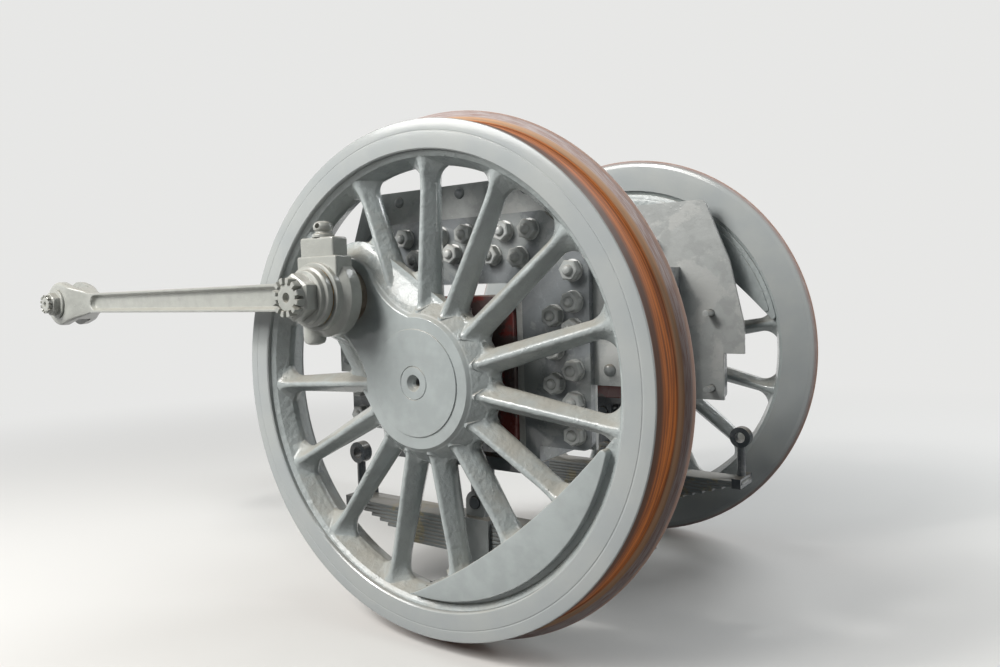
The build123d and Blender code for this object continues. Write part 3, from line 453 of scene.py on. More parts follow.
def settled_dust(tree, given):
    """Mask of dust that lies on what faces up, broken up by noise."""
    place = node(tree, "ShaderNodeTexCoord").outputs
    up = node(tree, "ShaderNodeSeparateXYZ", Vector=place["Normal"]).outputs[2]
    cloud = noise(place["Object"], given["Scale"], 6.0, 0.65)
    level = linear(cloud, 0.9, times(up, 0.6))
    return {"Mask": times(ramp(level, 0.55, 1.05), given["Amount"])}


def worn_patches(tree, given):
    """Mask of large patches with ragged edges."""
    spot = object_spot(tree)
    large, small = noise(spot, given["Scale"], 8.0, 0.6, 0.4), noise(spot, 140.0, 4.0, 0.7)
    edge = linear(small, 0.12, large)
    return {"Patches": ramp(edge, given["Level"], maths("ADD", given["Level"], 0.05))}


def round_the_axle(tree, given):
    """Radius from the axle line and y, in metres, and noise drawn out round the wheel into streaks."""
    x, y, z = node(tree, "ShaderNodeSeparateXYZ", Vector=object_spot(tree)).outputs
    radius = maths("SQRT", maths("ADD", times(x, x), times(z, z)))
    about = maths("ARCTAN2", z, x)
    slow = [times(maths(kind, about), given["Round"]) for kind in ("COSINE", "SINE")]
    across = times(maths("ADD", y, radius), given["Across"])
    where = node(tree, "ShaderNodeCombineXYZ", X=slow[0], Y=slow[1], Z=across).outputs[0]
    return {"Radius": radius, "Y": y, "Streaks": noise(where, 1.0, 7.0, 0.62)}


PAINT = group("thick_paint", thick_paint, ["Height"], Lumps=60.0, Grain=420.0, Drops=90.0)
DUST = group("settled_dust", settled_dust, ["Mask"], Scale=14.0, Amount=0.6)
WORN = group("worn_patches", worn_patches, ["Patches"], Scale=7.0, Level=0.6)
ROUND = group("round_the_axle", round_the_axle, ["Radius", "Y", "Streaks"], Round=6.0, Across=220.0)
DUST_BROWN = (0.30, 0.26, 0.20)


def effect(tree, made, **inputs):
    """Outputs of a group that is placed in a material with its own values."""
    return node(tree, "ShaderNodeGroup", {"node_tree": made}, **inputs).outputs


def material(name, build):
    """Material with one Principled shader; build wires it and gives its plain values."""
    made = bpy.data.materials.new(name)
    tree = emptied(made)
    shader = node(tree, "ShaderNodeBsdfPrincipled")
    node(tree, "ShaderNodeOutputMaterial", Surface=shader.outputs[0]).is_active_output = True
    for key, value in build(tree).items():
        socket = shader.inputs[key]
        if isinstance(value, bpy.types.NodeSocket):
            tree.links.new(value, socket)
        else:
            socket.default_value = value
    return made


def bump(height, strength, distance):
    """Normal of a surface with this height on it."""
    return node(height.id_data, "ShaderNodeBump", Strength=strength, Distance=distance, Height=height).outputs[0]


def from_middle(y):
    """Distance of a place from the middle of the axle, in metres."""
    return maths("ABSOLUTE", maths("SUBTRACT", y, SEAT / 1000))


def painted(name, colour, patch=None, level=0.66, rough=0.22, lumps=60.0, relief=0.0006, dust=0.5, machined=None):
    """Gloss paint on a casting: mottled colour, worn patches of a second colour, dust on top and a lumpy skin, which
    is smooth further than a given distance from the middle of the axle, where the face is machined."""
    def build(tree):
        mottle = noise(object_spot(tree), 22.0, 5.0)
        base = mixed(ramp(mottle, 0.35, 0.65), tuple(0.9 * c for c in colour), colour)
        if patch:
            base = mixed(effect(tree, WORN, Level=level)["Patches"], base, patch)
        mask = effect(tree, DUST, Amount=dust)["Mask"]
        height = effect(tree, PAINT, Lumps=lumps)["Height"]
        if machined:
            out = from_middle(effect(tree, ROUND)["Y"])
            smooth = ramp(out, machined / 1000 - 0.004, machined / 1000)
            height = times(height, rest_of(times(smooth, 0.85)))
        return {"Base Color": mixed(mask, base, DUST_BROWN),
                "Roughness": linear(mask, 0.5, linear(mottle, 0.16, rough - 0.08)),
                "Specular IOR Level": 0.25, "Coat Weight": linear(mask, -0.5, 0.6), "Coat Roughness": 0.08,
                "Normal": bump(height, 0.8, relief)}
    return material(name, build)


WHEEL_GREY = painted("wheel_grey_gloss", (0.36, 0.395, 0.395), relief=0.0042, dust=0.55, machined=FACE - 6)
ROD_GREY = painted("rod_grey_gloss", (0.36, 0.37, 0.345), lumps=70.0, relief=0.0018, dust=0.35)
HORN_GREY = painted("horn_block_grey", (0.185, 0.20, 0.21), (0.235, 0.25, 0.25), 0.56, 0.26, relief=0.0013, dust=0.6)
DOUBLER_GREY = painted("doubling_plate_grey", (0.37, 0.385, 0.38), (0.42, 0.43, 0.42), 0.58, 0.28, relief=0.0013,
                       dust=0.35)
FRAME_DARK = painted("frame_blue_black", (0.055, 0.066, 0.075), (0.12, 0.13, 0.135), 0.62, 0.26)
LINER_GREY = painted("horn_liner_grey", (0.36, 0.37, 0.36), lumps=90.0, relief=0.004, dust=0.2)
SPRING_DARK = painted("spring_grey", (0.17, 0.185, 0.185), (0.22, 0.20, 0.13), 0.62, 0.33, dust=0.45)
BOX_RED = painted("axlebox_red", (0.16, 0.032, 0.028), (0.075, 0.05, 0.048), 0.55, 0.28)


def axle_steel(tree):
    """Painted axle with dull, faintly turned steel showing through."""
    streaks = effect(tree, ROUND, Round=3.0, Across=900.0)["Streaks"]
    worn = effect(tree, WORN, Scale=9.0, Level=0.58)["Patches"]
    paint = mixed(effect(tree, DUST, Amount=0.7)["Mask"], (0.16, 0.17, 0.175), (0.26, 0.22, 0.17))
    return {"Base Color": mixed(worn, paint, (0.30, 0.20, 0.13)), "Metallic": 0.25,
            "Roughness": linear(streaks, 0.3, 0.28), "Normal": bump(streaks, 0.3, 0.0004)}


def tyre_steel(tree):
    """Grey gloss on the faces. On the tread, rust in streaks round the wheel, darker by the outer face; the flange's
    root is worn light, its slope steel-grey painted pale in whitish streaks as a painted reflection, and its crest
    brown."""
    coarse = effect(tree, ROUND, Round=2.0, Across=130.0)
    fine = effect(tree, ROUND, Round=12.0, Across=700.0)["Streaks"]
    streaks, radius = coarse["Streaks"], coarse["Radius"]
    inside = maths("SUBTRACT", FACE / 1000, from_middle(coarse["Y"]))
    on_tread = times(ramp(radius, 0.6185, 0.6215),
                     times(ramp(inside, 0.002, 0.006), rest_of(ramp(inside, 0.1245, 0.1275))))
    by_face = rest_of(ramp(linear(streaks, -0.04, inside), 0.002, 0.022))
    # The flange's slope: steel-grey, with pale whitish streaks that are a painted reflection.
    slope_painted_reflection = mixed(ramp(fine, 0.35, 0.65), (0.27, 0.19, 0.17), (0.43, 0.40, 0.40))
    rust = mixed(ramp(streaks, 0.36, 0.64), (0.17, 0.055, 0.022), (0.60, 0.19, 0.045))
    for mask, share, colour in (
            (ramp(fine, 0.52, 0.74), 0.7, (0.09, 0.035, 0.018)),              # dark streaks
            (by_face, 0.92, (0.05, 0.024, 0.015)),
            (ramp(inside, 0.088, 0.094), 0.75, (0.46, 0.33, 0.22)),           # root
            (ramp(radius, 0.6385, 0.6430), 1.0, slope_painted_reflection),
            (ramp(radius, 0.6530, 0.6565), 0.8, (0.40, 0.25, 0.19))):         # crest
        rust = mixed(times(mask, share), rust, colour)
    mottle = noise(object_spot(tree), 9.0, 5.0)
    paint = mixed(ramp(mottle, 0.3, 0.7), (0.345, 0.37, 0.375), (0.38, 0.40, 0.395))
    paint = mixed(effect(tree, DUST, Amount=0.35)["Mask"], paint, DUST_BROWN)
    height = maths("ADD", times(streaks, on_tread), effect(tree, PAINT, Lumps=40.0, Grain=300.0)["Height"])
    return {"Base Color": mixed(on_tread, paint, rust),
            "Roughness": linear(on_tread, 0.4, linear(mottle, 0.15, 0.15)),
            "Specular IOR Level": 0.2, "Coat Weight": linear(on_tread, -0.6, 0.6), "Coat Roughness": 0.14,
            "Normal": bump(height, 0.4, 0.0006)}


def bearing_brass(tree):
    """Dull brass, browned in patches."""
    worn = effect(tree, WORN, Scale=20.0, Level=0.5)["Patches"]
    return {"Base Color": mixed(worn, (0.42, 0.27, 0.10), (0.22, 0.15, 0.08)), "Metallic": 0.85,
            "Roughness": linear(worn, 0.2, 0.3),
            "Normal": bump(effect(tree, PAINT, Lumps=200.0)["Height"], 0.2, 0.0003)}


def collar_painted_shade(tree):
    """Crank pin collar, in the gap between the wheel and the rod: painted steel in dark browns, in cloudy patches; the
    darkness is painted shade of that gap.
    """
    cloud = noise(object_spot(tree), 30.0, 6.0, 0.6)
    return {"Base Color": mixed(ramp(cloud, 0.4, 0.62), (0.22, 0.19, 0.15), (0.13, 0.10, 0.07)),
            "Metallic": 0.3, "Roughness": linear(cloud, 0.3, 0.2), "Normal": bump(cloud, 0.3, 0.0006)}


AXLE_STEEL = material("axle_painted_steel", axle_steel)
TYRE_STEEL = material("tyre_painted_and_rusted", tyre_steel)
BRASS = material("bearing_brass", bearing_brass)
# Crank pin collar: dark browns that paint the shade in the gap between the wheel and the rod.
COLLAR_SHADE = material("collar_painted_shade", collar_painted_shade)


# ---------------------------------------------------------------- wheel

def fillet(distance, radius):
    """How far a fillet of this radius stands out from one wall, at a distance from the other."""
    s = np.clip(distance, 0, radius)
    return radius - np.sqrt(radius ** 2 - (radius - s) ** 2)


def rim_wall(out):
    """Radius of the rim's inner wall at a distance out: thickest at mid depth, it slopes off to both edges."""
    return RIM_IN_R + (RIM_LIP_R - RIM_IN_R) * np.clip((np.abs(out - SPOKE_MIDDLE) - 8) / 34, 0, 1)


def hub_wall(out):
    """Radius of the hub between its spokes at a distance out: it slopes in to its ring at the front."""
    return HUB_SWELL_R - (HUB_SWELL_R - HUB_R) * np.clip((out - FACE + 40) / 38, 0, 1)


def lens(half_width, half_depth, nose=10.0):
    """Section of a spoke at each station: an arc on each side and a small nose at front and back, with their
    common tangents. The first quarter is turned over twice to close the ring."""
    reach = (half_depth - nose)[:, None]
    lean = np.arcsin((half_width[:, None] - nose) / reach)
    angle = np.concatenate([lean * np.linspace(0, 1, 5), lean + (math.pi / 2 - lean) * np.linspace(0, 1, 7)], 1)
    on_nose = np.arange(12) >= 5
    r = np.where(on_nose, nose, half_width[:, None])
    side, depth = r * np.cos(angle), r * np.sin(angle) + on_nose * reach
    side = np.concatenate([side, -side[:, -2::-1], -side[:, 1:], side[:, -2:0:-1]], 1)
    depth = np.concatenate([depth, depth[:, -2::-1], -depth[:, 1:], -depth[:, -2:0:-1]], 1)
    return side, depth


def lens_half(half_width, half_depth, depth, nose=10.0):
    """Half the width of that section at a depth: on its side arc, on its straight flank or on its nose."""
    lean = math.asin((half_width - nose) / (half_depth - nose))
    depth = abs(depth)
    if depth < half_width * math.sin(lean):
        return math.sqrt(half_width ** 2 - depth ** 2)
    if depth < half_depth - nose + nose * math.sin(lean):
        return half_width / math.cos(lean) - depth * math.tan(lean)
    return math.sqrt(max(nose ** 2 - (depth - half_depth + nose) ** 2, 0.0))


def spoke(angle, edge=None):
    """Spoke from inside the hub's wall to inside the rim's, or to the balance weight's edge. Its sides widen by a
    fillet curve as they near either wall, fully at mid depth and less towards the two noses."""
    far, reach = (edge, WEIGHT_FILLET) if edge else (RIM_IN_R, RIM_FILLET)
    near = HUB_FILLET + 1
    r = np.concatenate([
        [HUB_SWELL_R - 16, HUB_SWELL_R - 7], HUB_SWELL_R + near * np.linspace(0, 1, 8) ** 1.4,
        np.linspace(HUB_SWELL_R + near, far - reach, 14)[1:-1], far - reach * np.linspace(1, 0, 15) ** 1.4, [far + 9]])
    half_width = np.interp(r, SPOKE_R, SPOKE_HALF_WIDTH)
    half_depth = np.interp(r, SPOKE_R, SPOKE_HALF_DEPTH) + 9 * np.clip((r - far + 60) / 60, 0, 1.1) ** 1.6
    side, depth = lens(half_width, half_depth)
    out = SPOKE_MIDDLE + depth
    near_hub = np.clip((HUB_SWELL_R + 60 - r) / 60, 0, 1)[:, None]
    near_far = np.clip((r - far + 70) / 70, 0, 1)[:, None]
    wall = rim_wall(out) if edge is None else far + 0 * out
    at = r[:, None] + (hub_wall(out) - HUB_SWELL_R) * near_hub + (wall - far) * near_far
    foot, head = fillet(at - hub_wall(out), HUB_FILLET), fillet(wall - at, reach)
    level = depth / half_depth[:, None]
    side = side + side / half_width[:, None] * (1 - 0.6 * level ** 2) * (foot + head)
    x, z = spun(at, side, angle)
    return tube(xyz(x, out + 0.5 * level ** 5 * foot, z))


def weight_edge(angle):
    """Radius of the balance weight's inner edge in a direction: where the ray meets the circle of the edge."""
    c = math.cos(math.radians(angle - WEIGHT_ANGLE))
    return WEIGHT_EDGE_AWAY * c + math.sqrt(WEIGHT_EDGE_AWAY ** 2 * (c * c - 1) + WEIGHT_EDGE_R ** 2)


def weight_outline(outer=WEIGHT_OUTER_R, nose=9.0):
    """Inner edge, rounded nose at the upper end, outer circle and sharp lower end."""
    w = math.radians(WEIGHT_ANGLE)
    cx, cz = WEIGHT_EDGE_AWAY * math.cos(w), WEIGHT_EDGE_AWAY * math.sin(w)

    def meeting(r_hub, r_edge, side):
        """Angle from the weight's middle of the crossing of a circle round the hub and one round the edge's centre."""
        d = abs(WEIGHT_EDGE_AWAY)
        c = (r_edge ** 2 - d * d - r_hub ** 2) / (2 * d * r_hub)
        return w + side * math.acos(c)

    top = meeting(outer - nose, WEIGHT_EDGE_R + nose, 1)
    low = meeting(outer, WEIGHT_EDGE_R, -1)
    centre = (outer - nose) * np.array([math.cos(top), math.sin(top)])
    from_edge = math.atan2(centre[1] - cz, centre[0] - cx)
    low_point = outer * np.array([math.cos(low), math.sin(low)])
    low_from_edge = math.atan2(low_point[1] - cz, low_point[0] - cx)
    inner = circle(WEIGHT_EDGE_R, cx, cz, 90, low_from_edge, from_edge)
    nose_arc = circle(nose, *centre, 14, from_edge + math.pi, top + (TAU if top < from_edge else 0))
    return np.concatenate([inner, nose_arc[1:], circle(outer, 0, 0, 78, top, low)[1:]])


def spoke_at(k):
    """Spoke k, counted clockwise from the crank; it ends at the balance weight's edge where that comes first."""
    angle = CRANK_ANGLE - 360 / SPOKES * k
    by_weight = abs((angle - WEIGHT_ANGLE + 180) % 360 - 180) < WEIGHT_SPREAD
    edge = weight_edge((angle + 180) % 360 - 180) if by_weight else RIM_IN_R
    return spoke(angle, edge if edge < RIM_IN_R - 3 else None)


def along_crank(points):
    """(distance along the crank, distance to its left) turned into (x, z)."""
    return np.stack(spun(*np.asarray(points, float).T, CRANK_ANGLE), -1)


def web_outlines():
    """The web's front outline and its foot, point for point. In front, arcs about the hub and the pin run into two
    hollow arcs; at the foot, the same two arcs have their common tangents."""
    to_hub, to_pin = WEB_ROOT_R + WEB_WAIST_R, WEB_BOSS_R + WEB_WAIST_R
    x = (to_hub ** 2 + CRANK_THROW ** 2 - to_pin ** 2) / (2 * CRANK_THROW)
    y = math.sqrt(to_hub ** 2 - x ** 2)
    at_hub, at_pin = math.atan2(y, x), math.atan2(y, x - CRANK_THROW)
    hollow = circle(WEB_WAIST_R, x, -y, 40, math.atan2(y, -x), math.atan2(y, CRANK_THROW - x))[1:-1]
    front = np.concatenate([circle(WEB_ROOT_R, 0, 0, 70, at_hub, TAU - at_hub), hollow,
                            circle(WEB_BOSS_R, CRANK_THROW, 0, 60, -at_pin, at_pin), (hollow * [1, -1])[::-1]])
    ends = [r * np.array([math.cos(WEB_LEAN), -math.sin(WEB_LEAN)]) + [start, 0]
            for r, start in ((WEB_FOOT_R, 0), (WEB_BOSS_FOOT_R, CRANK_THROW))]
    straight = ends[0] + (ends[1] - ends[0]) * np.linspace(0, 1, 40)[1:-1, None]
    foot = np.concatenate([circle(WEB_FOOT_R, 0, 0, 70, WEB_LEAN, TAU - WEB_LEAN), straight,
                           circle(WEB_BOSS_FOOT_R, CRANK_THROW, 0, 60, -WEB_LEAN, WEB_LEAN),
                           (straight * [1, -1])[::-1]])
    return along_crank(front), along_crank(foot)


def crank_web(edge=7.0):
    """Crank web: its face steps out round a rounded edge, then the flank runs to the foot, a little hollow."""
    front, foot = web_outlines()
    turns = np.linspace(0, math.pi / 4, 5)
    rings = [front - outward(front) * edge * (1 - math.sin(a)) for a in turns]
    outs = [FACE + 1 - edge * (1 - math.cos(a)) for a in turns]
    start, level = rings[-1], outs[-1]
    for v in np.linspace(0, 1, 10)[1:]:
        rings.append(start + (foot - start) * v)
        outs.append(level - (level - FACE + 40) * (v + 0.9 * v * (1 - v)))
    return tube(layers([*rings, foot], [*outs, FACE - 66]))


def touching(walls, start, radius):
    """Circle that touches two walls, each given by its distance function, by Newton's steps from a starting point:
    its centre, and its touching points on both."""
    centre, nudges = np.array(start, float), np.array([[0.01, 0], [0, 0.01]])
    for _ in range(20):
        away = np.array([wall(centre) for wall in walls]) - radius
        slope_painted_reflection = np.array([[(wall(centre + d) - wall(centre - d)) / 0.02 for d in nudges] for wall in walls])
        centre = centre - np.linalg.solve(slope_painted_reflection, away)
    return centre, centre - radius * slope_painted_reflection


def window_corner(turn, side, by_boss, radius):
    """Fillet between the web's foot and a spoke: at each depth, up to where the web's flank starts, the corner filled
    up to the arc that touches both. The arc is widest in the middle."""
    direction = unit(turn)
    r, guess = (390.0, 420.0) if by_boss else (260.0, 260.0)
    half_width, half_depth = (np.interp(r, SPOKE_R, ends) for ends in (SPOKE_HALF_WIDTH, SPOKE_HALF_DEPTH))
    start = direction * guess + [0.0, -50.0]

    def foot(p):
        if by_boss:
            return np.linalg.norm(p - [CRANK_THROW, 0]) - WEB_BOSS_FOOT_R + SUNK
        return p @ np.array([math.cos(WEB_LEAN), math.sin(WEB_LEAN)]) - WEB_FOOT_R + SUNK

    rings, depths = [], np.linspace(-0.93 * half_depth, 21, 15)
    for depth in depths:
        level = abs(depth) / half_depth if depth < 0 else depth / 22
        half = lens_half(half_width, half_depth, depth) - SUNK

        def flank(p):
            return p[0] * direction[1] - p[1] * direction[0] - half

        inner, _ = touching((foot, flank), start, 0.01)
        centre, (first, last) = touching((foot, flank), start, radius * (1 - level ** 2) + 2)
        t = np.linspace(0, 1, 13)[:, None]
        arc = (first - centre) * (1 - t) + (last - centre) * t
        arc = centre + arc / np.linalg.norm(arc, axis=1)[:, None] * np.linalg.norm(first - centre)
        inward = inner - centre
        deep = inner + inward / np.linalg.norm(inward) * 8
        ring = np.concatenate([[deep, first + inward * 0.2], arc, [last + inward * 0.2]])
        rings.append(along_crank(ring * [1, side]))
    return tube(layers(rings, SPOKE_MIDDLE + depths))


def hub_valleys(middles):
    """Rounded valleys between neighbouring spokes at the hub: at each depth, the arc that touches both flanks and, at
    mid depth, the hub. Towards the front and the back it sinks into the hub."""
    half_width, half_depth = 28.9, 45.0      # of a spoke by the hub
    lean = math.sin(math.pi / SPOKES)
    t = np.linspace(math.pi / 2 + math.pi / SPOKES, 3 * math.pi / 2 - math.pi / SPOKES, 19)
    rings, depths = [], np.linspace(-39, 40, 17)
    for depth in depths:
        half = lens_half(half_width, half_depth, depth) - SUNK
        hub_r = HUB_SWELL_R + 2 - max(0.0, depth - 22) * 0.95 - max(0.0, -30 - depth) * 1.2
        radius = (hub_r * lean - half) / (1 - lean) * (1 - 0.5 * (abs(depth) / 40) ** 6)
        centre = (half + radius) / lean
        arc = np.stack([centre + radius * np.cos(t), radius * np.sin(t)], -1)
        rings.append(np.concatenate([[[146.0, 0.0]], arc[:1] + [-3, 3], arc, arc[-1:] + [-3, -3]]))
    return joined(*[tube(layers([np.stack(spun(*ring.T, middle), -1) for ring in rings], SPOKE_MIDDLE + depths))
                    for middle in middles])


rim = turned(rounded([
    (TYRE_BORE_R, RIM_BACK), (TYRE_BORE_R, RIM_FRONT), (RIM_LIP_R, RIM_FRONT - 9), (RIM_IN_R, SPOKE_MIDDLE + 8),
    (RIM_IN_R, SPOKE_MIDDLE - 8), (RIM_LIP_R, RIM_BACK + 10)], (1, 1, 3.5, 14, 14, 4), closed=True), steps=360)
hub = turned(rounded([
    (SEAT_R, HUB_BACK), (154, HUB_BACK), (162, HUB_BACK + 18), (HUB_SWELL_R, FACE - 92), (HUB_SWELL_R, FACE - 40),
    (HUB_R + 1, FACE - 1), (HUB_R - 1, FACE + 1), (131, FACE + 1), (130, FACE + 4), (SEAT_R, FACE + 4)],
    (2, 5, 16, 30, 22, 4, 1.5, 0.5, 1.2, 0), closed=True), steps=240)
spoke_sets = [joined(*[spoke_at(k) for k in range(first, SPOKES, 3)]) for first in range(3)]
pin_boss = plate(circle(98.0, PIN_X, PIN_Z, 72), FACE - 112, FACE - 20, 8, 2)
weight = plate(weight_outline(), FACE - WEIGHT_DEPTH, FACE, 3, 3, ladder=True)
weight_bed = plate(weight_outline(WEIGHT_BED_R), FACE - WEIGHT_DEPTH + 3, FACE - 24, 3, 2, ladder=True)
corners = [window_corner(turn, side, by_boss, radius) for side in (1, -1)
           for turn, by_boss, radius in ((48, False, 26), (24, True, 24))]
valleys = hub_valleys([CRANK_ANGLE - 360 / SPOKES * (k + 0.5) for k in range(2, SPOKES - 2)])
behind_hole = plate(circle(25.0, 0.0, 0.0, 48), FACE - 70, FACE + 10, 0.1, 0.1)
casting = solid_sum(rim, [hub, *spoke_sets, crank_web(), pin_boss, weight, weight_bed, *corners, valleys],
                    [behind_hole])

tyre = turned(rounded([
    (TYRE_BORE_R, TYRE_BACK), (TYRE_BORE_R, FACE - 3), (TYRE_BORE_R + 3, FACE), (593, FACE), (594, FACE - 0.8),
    (596, FACE - 0.8), (597, FACE - 0.3), (TREAD_R, FACE - 0.8), (TREAD_R + 1, FACE - 5), (TREAD_R + 5, FACE - 86),
    (637, TYRE_BACK + 31), (655, TYRE_BACK + 24), (FLANGE_R, TYRE_BACK + 11), (646, TYRE_BACK + 2), (636, TYRE_BACK)],
    (1.5, 0, 1.5, 0.3, 0.3, 0.3, 0.3, 3, 1, 9, 9, 9, 6, 5, 3), closed=True), steps=360)

# Half of the axle's profile, from the centre hole at its end over a ring groove and the wheel seat to the journal
axle_half = rounded([
    (0, FACE - 60), (8, FACE - 58), (9, FACE - 15), (20.5, FACE + 4), (39, FACE + 4), (40.5, FACE + 2),
    (42, FACE + 4), (SEAT_R, FACE + 4), (SEAT_R, HUB_BACK), (95, HUB_BACK + 8), (95, 250), (88, 236)],
    (0, 2, 1, 1, 0.4, 0.3, 0.4, 0, 1, 5, 6, 0))
axle = turned(np.concatenate([axle_half, (axle_half * [1, -1])[::-1]]), steps=160, ring=False)


def hexagon(across, turn=0.0, corner=1.5):
    """Hexagon outline with its corners rounded."""
    t = math.radians(turn) + np.arange(6) * TAU / 6
    flat = across / 2 / math.cos(math.pi / 6)
    return rounded(np.stack([flat * np.cos(t), flat * np.sin(t)], -1), corner, 3, closed=True)


def hex_nut(across, back, front, x, z, turn=0.0, chamfer=0.14):
    """Hexagon nut: radius at each angle follows the hexagon, and is cut by a cone at its front corners."""
    line = hexagon(across, turn)
    reach = np.linalg.norm(line, axis=1)
    level = np.array([0, 0.03, 0.45, 0.6, 0.75, 0.88, 1.0])
    limit = across / 2 * (1.005 + np.clip((1.0 - level) / chamfer, 0, 1) * 0.16)
    scale = np.minimum(1.0, limit[None] / reach[:, None])
    flat = line[:, None] * scale[..., None]
    return barrel(xyz(x + flat[..., 0], back + (front - back) * level, z + flat[..., 1]))


def crown(radius, back, front, bore, notches, slot, x, z):
    """Castle crown: a ring whose front drops by the notch depth where it crosses a notch."""
    t = around(notches * 16)
    near = np.abs((t * notches / TAU + 0.5) % 1 - 0.5) * TAU / notches * radius
    top = front - (front - back) * 0.8 * np.clip((slot / 2 + 0.8 - near) / 1.6, 0, 1)
    r = np.array([radius, radius, radius - 1.5, bore + 1.5, bore, bore])
    out = np.where([True, False, False, False, False, True], back, top - [0, 1.5, 0, 0, 1.5, 0])
    return grid(xyz(x + r * np.cos(t), out, z + r * np.sin(t)), wrap_u=True, wrap_v=True)


crank_pin = turned(rounded([
    (0, FACE - 112), (62, FACE - 112), (62, FACE), (72, FACE), (72, FACE + 42), (PIN_R, FACE + 42),
    (PIN_R, WASHER_BACK), (PIN_NECK_R, WASHER_BACK), (PIN_NECK_R, PIN_END), (12, PIN_END), (10, PIN_END - 12),
    (0, PIN_END - 20)],
    (0, 1, 0, 1, 3, 0, 1, 0, 2, 1, 0, 0)), PIN_X, PIN_Z, 96, ring=False)
crank_nut = joined(
    turned(rounded([(PIN_NECK_R, WASHER_BACK), (74, WASHER_BACK), (74, NUT_BACK - 14), (66, NUT_BACK - 12),
                    (64, NUT_BACK), (PIN_NECK_R, NUT_BACK)], (0, 2, 3, 2, 3, 0), closed=True), PIN_X, PIN_Z, 120),
    hex_nut(100, NUT_BACK, CROWN_BACK + 0.5, PIN_X, PIN_Z, turn=30),
    crown(47, CROWN_BACK - 2, CROWN_BACK + 22, bore=PIN_NECK_R, notches=12, slot=9, x=PIN_X, z=PIN_Z))


def collar_faces(middles):
    """Faces of the pin's collar, by their distance out from the centre line."""
    away = np.abs(middles[:, 1] * 1000 - SEAT)
    return (away > FACE + 1) & (away < FACE + 43)


def axle_end_faces(middles):
    """Faces of the axle's two ends, which are painted with the wheels."""
    return np.abs(middles[:, 1] * 1000 - SEAT) > FACE - 30


for side, place in (("left", on_left), ("right", on_right_wheel)):
    pieces(side, place, "wheelset", (
        ("cast_wheel", casting, "wheel_paint", [WHEEL_GREY], "wheel_centre", 38),
        ("wheel_tyre", tyre, "tyre_steel", [TYRE_STEEL], "tyre"),
        ("crank_pin_turned", crank_pin, "rod_paint", [ROD_GREY, COLLAR_SHADE], "crank_pin", 30, collar_faces),
        ("crank_castle_nut", crank_nut, "rod_paint", [ROD_GREY], "crank_nut")))
piece("axle_turned", axle, on_left, "wheelset", "axle_steel", [AXLE_STEEL, WHEEL_GREY], ["axle"], pick=axle_end_faces)


# ---------------------------------------------------------------- coupling rods

def beam():
    """Fluted beam: its height tapers along x, and each side sinks by the flute's depth inside a round-ended slot,
    with a smooth step 9 mm wide."""
    x_big, x_small = PIN_X - 88.0, KNUCKLE_X + 155.0
    x = np.concatenate([x_big - 90 * np.linspace(0, 1, 60), np.linspace(x_big - 90, x_small + 60, 60)[1:-1],
                        x_small + 60 * np.linspace(1, 0, 40)])
    v = np.concatenate([-np.linspace(1, 0.93, 3), -np.linspace(0.92, 0.55, 18)[1:], np.linspace(-0.5, 0.5, 9),
                        np.linspace(0.55, 0.92, 18)[:-1], np.linspace(0.93, 1, 3)])
    tall = (np.interp(x, (x_small, x_big), (64, 74)) / 2)[:, None]
    z = tall * v
    slot = 22.0
    left, right = x_small + 8 + slot, x_big - 22 - slot
    beyond = np.clip(np.maximum(left - x, x - right), 0, None)[:, None]
    s = np.clip((slot + tall - 32 - np.hypot(beyond, z) + 4.0) / 9.0, 0, 1)
    edge = 3.0 * (1 - np.sqrt(np.clip(1 - np.clip((np.abs(z) - tall + 3) / 3, 0, 1) ** 2, 0, 1)))
    sink = 14.0 * s * s * (3 - 2 * s) + edge
    return tube(np.concatenate([xyz(x[:, None], BEAM_FRONT - sink, z + PIN_Z),
                                xyz(x[:, None], BEAM_BACK + sink, z + PIN_Z)[:, ::-1]], 1))


def fork_block(steps=48, neck=32.0, length=155.0, corner=0.18):
    """Knuckle end: a round eye joined by tangents to the beam, thicker at the eye than where it meets the beam. Its
    section is a square whose corners are rounded by raising sine and cosine to a small power."""
    away = np.concatenate([FORK_R * -np.cos(np.linspace(0, math.pi / 2, 22)), np.linspace(6, 162, 30)])
    lean = math.asin((FORK_R - neck) / length)
    touch = FORK_R * math.sin(lean)
    tall = np.where(away < touch, np.sqrt(np.clip(FORK_R ** 2 - away ** 2, 0.01, None)),
                    neck + (FORK_R * math.cos(lean) - neck) * np.clip((length - away) / (length - touch), 0, 1))
    s = np.clip((away - FORK_R * 0.72) / (150 - FORK_R * 0.72), 0, 1)
    half = 50 + (20.5 - 50) * (s * s * (3 - 2 * s) * 0.6 + s * 0.4)
    v = around(steps)[:, 0] + TAU / (2 * steps)
    square_z, square_out = (np.sign(wave) * np.abs(wave) ** corner for wave in (np.cos(v), np.sin(v)))
    return tube(xyz(KNUCKLE_X + away[:, None], ROD_MIDDLE + half[:, None] * square_out,
                    PIN_Z + tall[:, None] * square_z))


def box_shell(x0, x1, back, front, z0, z1, radius):
    """Block with all its upright edges rounded, and its front and back edges too."""
    outline = rounded([(x0, z0), (x1, z0), (x1, z1), (x0, z1)], radius, 5, closed=True)
    return plate(outline, back, front, radius * 0.8, radius * 0.8)


def plug():
    """Boss under the big end: its radius against its height, flattened at the front and the back."""
    t = around(48)
    r = np.array([0.01, 14, 24, 29, 31, 31, 31])
    rise = np.array([0, 0.5, 5, 12, 20, 36, 62])
    return barrel(xyz(PIN_X - 50 + r * np.cos(t), ROD_MIDDLE + np.minimum(r, 26) * np.sin(t), PIN_Z - 121 + rise))


